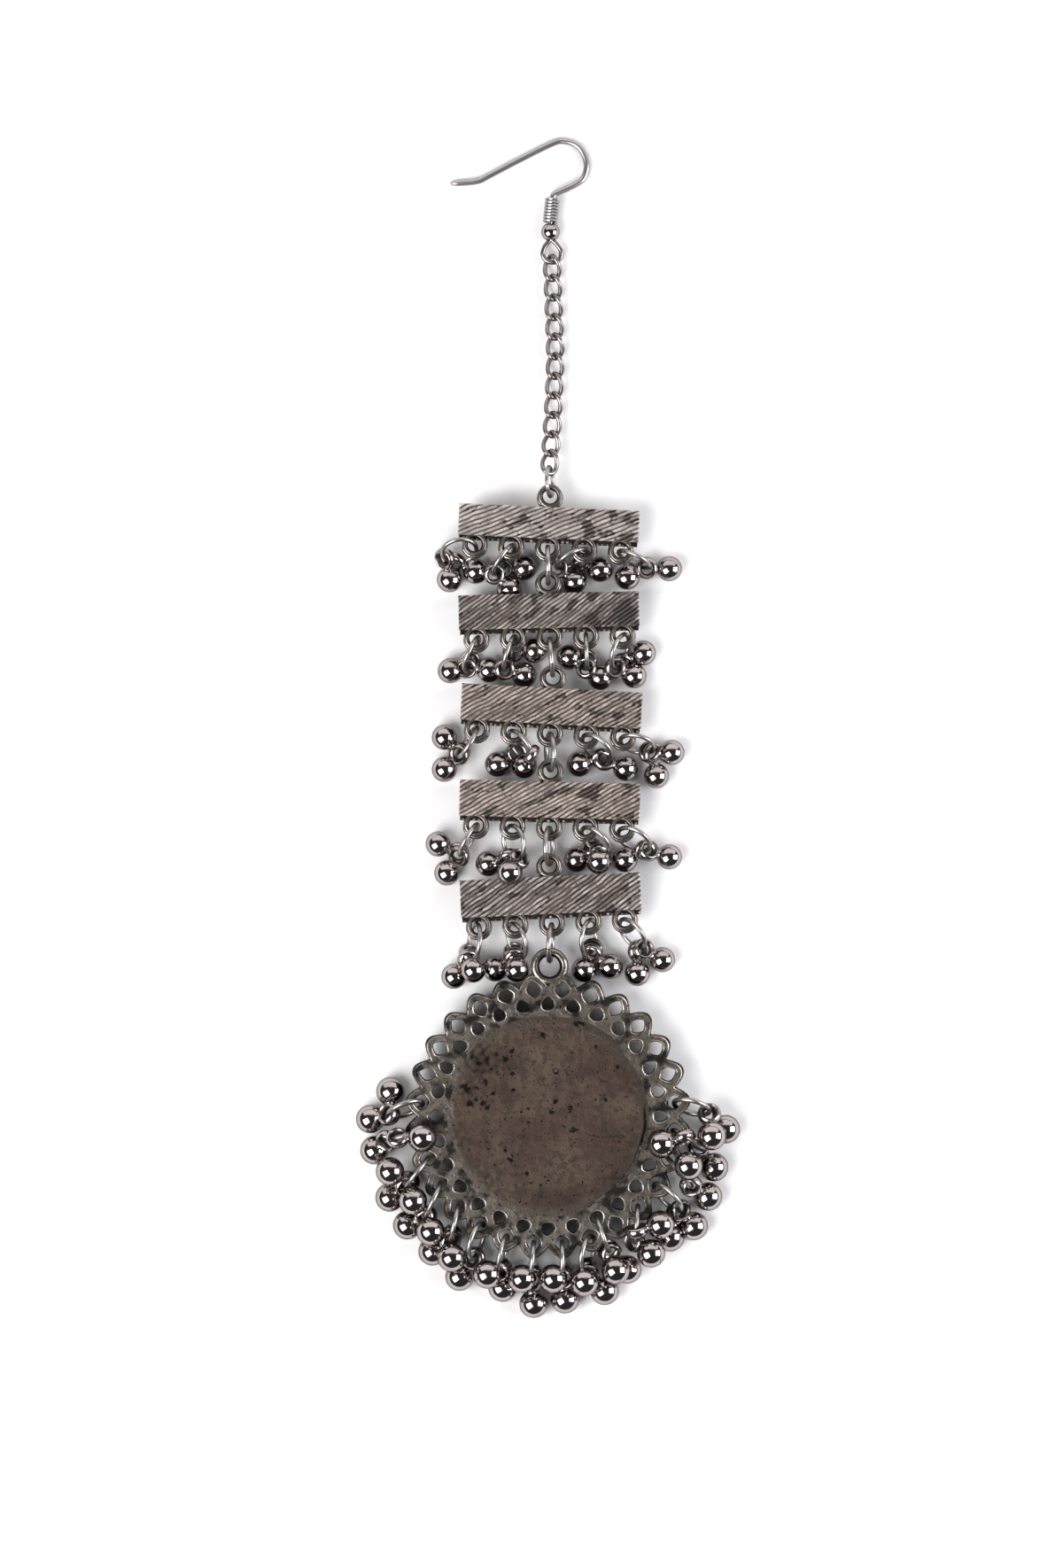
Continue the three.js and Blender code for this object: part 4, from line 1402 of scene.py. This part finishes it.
    def skirt_outlines(self) -> list[list[tuple[float, float]]]:
        """Outline and openings of the thick part under the border, which leaves room for the jump rings.

        It reaches the edge round the top, where nothing hangs, and only the inner row elsewhere, with a notch at the
        inner opening that a drop hangs in.

        Returns:
            The closed outlines.
        """
        step = 2 * math.pi / self.repeats
        rise = self.tip_radius - self.valley_radius
        first_drop, last_drop = 6, 22
        notch = [drop.hold for drop in PENDANT_DROPS if drop.row is Row.INNER]
        edge = []
        parts = 6
        for i in range(self.repeats):
            for k in range(parts):
                share = k / parts
                wide = i < first_drop or i >= last_drop
                lobe = self.valley_radius + rise * math.sin(math.pi * share) ** 0.6 - self.skirt_inset
                radius = lobe if wide else self.skirt_radius
                if any(abs(i + share - hold) < 0.6 for hold in notch):
                    radius = self.boss_radius + 0.2
                edge.append((radius * math.sin((i + share) * step), radius * math.cos((i + share) * step)))
        outlines = [edge]
        for number, hole in enumerate(self.hole_outlines(0.0)):
            i, inner = number // 2, number % 2 == 1
            open_here = i not in notch if inner else (i < first_drop or i >= last_drop)
            if open_here:
                outlines.append(hole)
        return outlines

    def layer(self, form: Form, outlines: list[list[tuple[float, float]]], low: float, high: float,
              rub: float, hollow: float) -> None:
        """Adds one pierced layer of the border, with bevelled edges.

        Args:
            form: The form.
            outlines: Its outline and its openings.
            low: Height of its underside.
            high: Height of its top.
            rub: How bright its bevels are rubbed.
            hollow: How black its top is. Its walls are black: patina of the piercings, deepened as painted shade.
        """
        curve = bpy.data.curves.new("layer_outline", "CURVE")
        curve.dimensions = "2D"
        curve.fill_mode = "BOTH"
        curve.extrude = (high - low) / 2 - self.bevel
        curve.bevel_depth = self.bevel
        curve.bevel_resolution = 2
        curve.offset = -self.bevel
        for outline in outlines:
            spline = curve.splines.new("POLY")
            spline.points.add(len(outline) - 1)
            for point, (x, y) in zip(spline.points, outline):
                point.co = (x, y, 0.0, 1.0)
            spline.use_cyclic_u = True
        made = bpy.data.objects.new("layer_outline", curve)
        bpy.context.scene.collection.objects.link(made)
        depsgraph = bpy.context.evaluated_depsgraph_get()
        mesh = bpy.data.meshes.new_from_object(made.evaluated_get(depsgraph))
        lift = Vector((0, 0, (high + low) / 2))
        start = len(form.points)
        form.add([v.co + lift for v in mesh.vertices], [tuple(p.vertices) for p in mesh.polygons])
        form.rub[start:] = [rub if 0.15 < v.normal.z < 0.93 else 0.0 for v in mesh.vertices]
        # Walls are coloured black: patina, and painted shade inside the openings and round the edge.
        form.hollow[start:] = [0.95 if v.normal.z < 0.15 else hollow for v in mesh.vertices]
        bpy.data.objects.remove(made)
        bpy.data.curves.remove(curve)
        bpy.data.meshes.remove(mesh)

    def border(self, form: Form) -> None:
        """Adds the pierced border: thick part, lower and upper layer, and bright rims of the openings and the edge."""
        form.look = 1
        # The thick part is black all over: painted shade that darkens the openings from below.
        self.layer(form, self.skirt_outlines(), self.skirt_bottom, self.border_bottom + 0.15, 0.0, 0.95)
        self.layer(form, [self.edge_outline(0.0), *self.hole_outlines(0.0)], self.border_bottom, self.ledge, 0.5, 0.6)
        top = [self.edge_outline(self.edge_inset), *self.hole_outlines(self.rim_gap)]
        self.layer(form, top, self.ledge - 0.1, self.border_top, 0.7, 0.05)
        rims = [*self.hole_outlines(self.rim_gap + self.rim), self.edge_outline(self.edge_inset + self.rim)]
        for number, outline in enumerate(rims):
            path = [Vector((x, y, self.border_top + 0.02 * noise.noise(Vector((x, y, 1.0))))) for x, y in outline]
            start = len(form.points)
            form.sweep(path, (self.rim, self.rim), 8, True)
            for k in range(start, len(form.points)):
                x, y, _ = form.points[k]
                worn = 0.45 + 1.3 * noise.noise(Vector((x * 0.9, y * 0.9, 2.0 + number * 0.01)))
                form.rub[k] = min(max(worn, 0.0), 1.0)
        form.look = 0

    def disc_relief(self, x: float, y: float) -> tuple[float, float]:
        """Height of the back disc over the border at a place, and how black it is there.

        Args:
            x: Place across the jewel.
            y: Place along the jewel.

        Returns:
            Height and blackness.
        """
        radius = math.hypot(x, y)
        rise = self.disc_rise + 0.04 * noise.noise(Vector((x * 0.22, y * 0.22, 7.0)))
        smudge = noise.noise(Vector((x * 0.16, y * 0.16, 21.0))) + 0.5 * noise.noise(Vector((x * 0.6, y * 0.6, 5.0)))
        black = 0.06 - 0.008 * y + 0.45 * max(0.0, smudge)
        speckle = noise.noise(Vector((x * 1.6, y * 1.6, 33.0)))
        for px, py, size, strength in self.smudges:
            away = math.hypot(x - px, y - py) / size
            if away < 2.5:
                black += strength * math.exp(-away * away) * (0.7 + 1.6 * speckle)
        uneven = 1 + 0.7 * noise.noise(Vector((x * 3.1, y * 3.1, 41.0)))
        for px, py, size in self.pits:
            away = math.hypot(x - px, y - py) * uneven / (size * 1.15)
            if away < 2.5:
                dent = math.exp(-away * away)
                rise -= 0.02 * dent
                black = max(black, min(1.0, 2.6 * dent))
        waver = 0.12 * noise.noise(Vector((x * 1.9, y * 1.9, 51.0)))
        for ax, ay, bx, by in self.cracks:
            run_x, run_y = bx - ax, by - ay
            share = ((x - ax) * run_x + (y - ay) * run_y) / (run_x ** 2 + run_y ** 2)
            if 0.0 < share < 1.0:
                away = ((x - ax) * run_y - (y - ay) * run_x) / math.hypot(run_x, run_y) + waver
                line = math.exp(-(away / 0.07) ** 2)
                rise -= 0.015 * line
                black = max(black, 0.85 * line)
        bearing = math.degrees(math.atan2(x, y)) % 360
        first, last, fading = 78.0, 160.0, 14.0
        if first < bearing < last:
            fade = min((bearing - first) / fading, (last - bearing) / fading, 1.0)
            ragged = noise.noise(Vector((bearing * 0.12, 0, 0))) + 0.5 * noise.noise(Vector((bearing * 0.5, 3, 0)))
            width = 0.10 + 0.16 * max(0.0, (125.0 - bearing) / 47.0) * (0.8 + 0.5 * ragged)
            away = (radius - 11.5 - 0.14 * ragged) / width
            crease = fade * math.exp(-away * away)
            rise -= 0.03 * crease
            black = max(black, min(1.0, 1.6 * crease))
        edge = min(1.0, (self.disc_radius - radius) / 1.2)
        return rise * edge - 0.03 * (1 - edge), min(max(black, 0.0), 1.0)

    def disc(self, form: Form) -> None:
        """Adds the back disc with its pits, its crease and its faint waves."""
        rings, steps = 140, 320
        points = [Vector((0, 0, self.border_top + self.disc_relief(0, 0)[0]))]
        black = [0.0]
        rub = [0.0]
        for r in range(1, rings + 1):
            radius = self.disc_radius * (r / rings) ** 0.8
            for k in range(steps):
                turn = 2 * math.pi * k / steps
                x, y = radius * math.cos(turn), radius * math.sin(turn)
                rise, dark = self.disc_relief(x, y)
                points.append(Vector((x, y, self.border_top + rise)))
                black.append(dark)
                patch = 1.2 + 0.9 * noise.noise(Vector((x * 0.9, y * 0.9, 3.0)))
                outer_share = max(0.0, 1 - (self.disc_radius - radius) / 1.9)
                rub.append(min(max(outer_share * patch, 0.0), 1.0))
        faces: list[tuple[int, ...]] = [(0, 1 + k, 1 + (k + 1) % steps) for k in range(steps)]
        for r in range(rings - 1):
            base, above = 1 + r * steps, 1 + (r + 1) * steps
            for k in range(steps):
                n = (k + 1) % steps
                faces.append((base + k, above + k, above + n, base + n))
        under = len(points)
        last = 1 + (rings - 1) * steps
        for k in range(steps):
            low = points[last + k].copy()
            low.z = self.border_top - 0.2
            points.append(low)
            black.append(0.4)
            rub.append(0.0)
        for k in range(steps):
            n = (k + 1) % steps
            faces.append((last + k, under + k, under + n, last + n))
        faces.append(tuple(under + k for k in range(steps - 1, -1, -1)))
        start = len(form.points)
        form.add(points, faces)
        form.rub[start:] = rub
        form.hollow[start:] = black

    def front(self, form: Form) -> None:
        """Adds the plain round front, which the jewel lies on."""
        radius, soft = self.boss_radius, 0.4
        profile = [(0.0, 0.0), (radius - soft, 0.0), (radius - 0.12, 0.12), (radius, soft),
                   (radius, self.border_bottom + 0.1), (0.0, self.border_bottom + 0.1)]
        form.turned(profile, Vector((0, 0, 0)), Vector((0, 0, 1)), 96, 0.1, 0.3)

    def hanging_ring(self, form: Form) -> None:
        """Adds the ring at the top and the metal that joins it to the border."""
        middle = Vector((*self.ring_middle, 3.7))
        radius = (self.ring_outside + self.ring_hole) / 4
        half = ((self.ring_outside - self.ring_hole) / 4, 0.5)
        form.look = 2
        # Its inner side gets painted shade, black in the ring's hole.
        form.ring(middle, Vector((0, 0, 1)), radius, half, 64, 18, rub=0.5, inside=0.95)
        form.look = 1
        for side in (-1.0, 1.0):
            form.ball(middle + Vector((side, -1.95, -0.1)), 0.42, 16, 0.2, 0.2)

    def build(self, maker: Maker) -> None:
        """Builds the pendant as one piece.

        Args:
            maker: Makes the objects.
        """
        form = Form()
        self.border(form)
        self.disc(form)
        self.front(form)
        self.hanging_ring(form)
        piece = maker.mesh("pendant_plate", form)
        maker.finish(piece, "pendant", Slot.PLATE, PLATE_CASTING.name, BORDER_CASTING.name, LOOP_CASTING.name)


PENDANT = Pendant()


@dataclass
class BarLadder:
    """The stacked bars with their drops, and the jump rings that join them into one strip."""

    chain_end: Point = (0.2, 76.95, 2.85)
    pendant_hold: Point = (0.18, 18.2, 3.7)
    chain_ring: tuple[float, float] = (3.5, 0.5)
    chain_lean: float = 12.0
    bar_ring: tuple[float, float] = (4.3, 0.6)
    drop_ring: tuple[float, float] = (4.1, 0.55)
    leans: tuple[float, ...] = (0, 0, -12, 12, 6)

    def build(self, maker: Maker) -> None:
        """Builds the bars, the rings between them and their drops.

        Args:
            maker: Makes the objects.
        """
        bars = [HatchedBar(place) for place in BARS]
        self.join(maker, "chain_ring", Vector(self.chain_end), bars[0].loop(None), self.chain_lean, self.chain_ring)
        for number, bar in enumerate(bars, 1):
            bar.build(maker, number)
            below = bars[number].loop(None) if number < len(bars) else Vector(self.pendant_hold)
            self.join(maker, f"bar_link_{number}", bar.loop(0), below, self.leans[number - 1], self.bar_ring)
            for order, drop in enumerate(bar.place.drops, 1):
                drop.build(maker, f"bar_{number}_drop_{order}", bar.loop(drop.hold), self.drop_ring, SMALL_BELL)

    @staticmethod
    def join(maker: Maker, node: str, first: Vector, second: Vector, lean: float,
             size: tuple[float, float]) -> None:
        """Builds a jump ring between two loops.

        Args:
            maker: Makes the objects.
            node: The node that it stands for.
            first: Middle of one loop.
            second: Middle of the other.
            lean: Lean to one side, in degrees.
            size: Diameter to the middle of the wire, and the wire.
        """
        form = Form()
        WireRing.between(first, second, lean, *size).draw(form, 70.0)
        maker.finish(maker.mesh(f"{node}_wire", form), node, Slot.RING, RING_PLATING.name)


@dataclass
class PendantFringe:
    """The drops round the pendant's lower rim."""

    ring: tuple[float, float] = (4.3, 0.6)

    def build(self, maker: Maker) -> None:
        """Builds the drops.

        Args:
            maker: Makes the objects.
        """
        for order, drop in enumerate(PENDANT_DROPS, 1):
            start = PENDANT.opening_middle(drop.row, drop.hold)
            drop.build(maker, f"pendant_drop_{order}", start, self.ring, LARGE_BELL)


@dataclass(frozen=True)
class Softbox:
    """A square or oblong soft light."""

    name: str
    place: Point
    aim: Point
    size: tuple[float, float]
    radiance: float
    colour: Colour

    def build(self) -> None:
        """Makes the light, with its power worked out from its size."""
        data = bpy.data.lights.new(self.name, "AREA")
        data.shape = "RECTANGLE"
        data.size, data.size_y = self.size
        data.energy = self.radiance * math.pi * self.size[0] * self.size[1]
        data.color = self.colour
        made = bpy.data.objects.new(self.name, data)
        made.location = self.place
        direction = Vector(self.aim) - Vector(self.place)
        made.rotation_euler = direction.to_track_quat("-Z", "Y").to_euler()
        bpy.context.scene.collection.objects.link(made)


@dataclass
class Studio:
    """White surface, soft lights and the camera that looks straight down."""

    photo_width: int = 1200
    photo_height: int = 1770
    mm_per_pixel: float = 0.105
    view_middle: tuple[float, float] = (-1.98, -6.67)
    camera_height: float = 1.2
    sharp_height: float = 3.0
    floor_size: float = 3.0
    world_colour: Colour = (0.88, 0.90, 1.0)
    world_strength: float = 0.055
    softboxes: tuple[Softbox, ...] = (
        Softbox("left_softbox", (-0.28, -0.18, 0.40), (0, 0, 0), (0.36, 0.40), 7.2, (1.0, 0.99, 0.98)),
        Softbox("right_softbox", (0.44, -0.03, 0.28), (0, 0, 0), (0.32, 0.36), 7.0, (0.98, 0.985, 1.0)),
        Softbox("back_wall", (0, 0.52, 0.32), (0, 0, 0.12), (1.5, 0.56), 1.3, (1.0, 0.97, 0.96)),
        Softbox("warm_strip", (0.05, 0.33, 0.60), (0, 0, 0), (0.34, 0.07), 0.45, (1.0, 0.62, 0.38)),
    )

    def build(self) -> None:
        """Makes the surface, the lights, the surroundings and the camera."""
        self.floor()
        for softbox in self.softboxes:
            softbox.build()
        world = bpy.data.worlds.new("studio")
        world.use_nodes = True
        background = world.node_tree.nodes["Background"]
        background.inputs[0].default_value = (*self.world_colour, 1.0)
        background.inputs[1].default_value = self.world_strength
        bpy.context.scene.world = world
        bpy.context.scene.view_settings.view_transform = "Standard"
        self.camera()

    def floor(self) -> None:
        """Makes the white surface."""
        half = self.floor_size / 2
        mesh = bpy.data.meshes.new("white_surface")
        corners = [(-half, -half, 0), (half, -half, 0), (half, half, 0), (-half, half, 0)]
        mesh.from_pydata(corners, [], [(0, 1, 2, 3)])
        surface = bpy.data.objects.new("white_surface", mesh)
        bpy.context.scene.collection.objects.link(surface)
        tree = NodeTree("white_paper")
        material = tree.surface({"Base Color": (0.93, 0.93, 0.94, 1.0), "Roughness": 0.9, "Specular IOR Level": 0.1})
        mesh.materials.append(material)

    def camera(self) -> None:
        """Makes the camera, straight above the middle of the photograph's frame."""
        data = bpy.data.cameras.new("camera")
        data.sensor_fit = "VERTICAL"
        data.sensor_height = 36.0
        covered = self.photo_height * self.mm_per_pixel * MM
        data.lens = data.sensor_height * (self.camera_height - self.sharp_height * MM) / covered
        data.clip_start = 0.01
        made = bpy.data.objects.new("camera", data)
        made.location = (self.view_middle[0] * MM, self.view_middle[1] * MM, self.camera_height)
        bpy.context.scene.collection.objects.link(made)
        bpy.context.scene.camera = made


def main() -> None:
    """Builds the studio and every piece, in order."""
    logging.basicConfig(level=logging.INFO, format="%(name)s %(message)s")
    Studio().build()
    maker = Maker()
    for part in (HairHook(), CurbChain(), BarLadder(), PENDANT, PendantFringe()):
        LOG.info("building %s", type(part).__name__)
        part.build(maker)


if __name__ == "__main__":
    main()
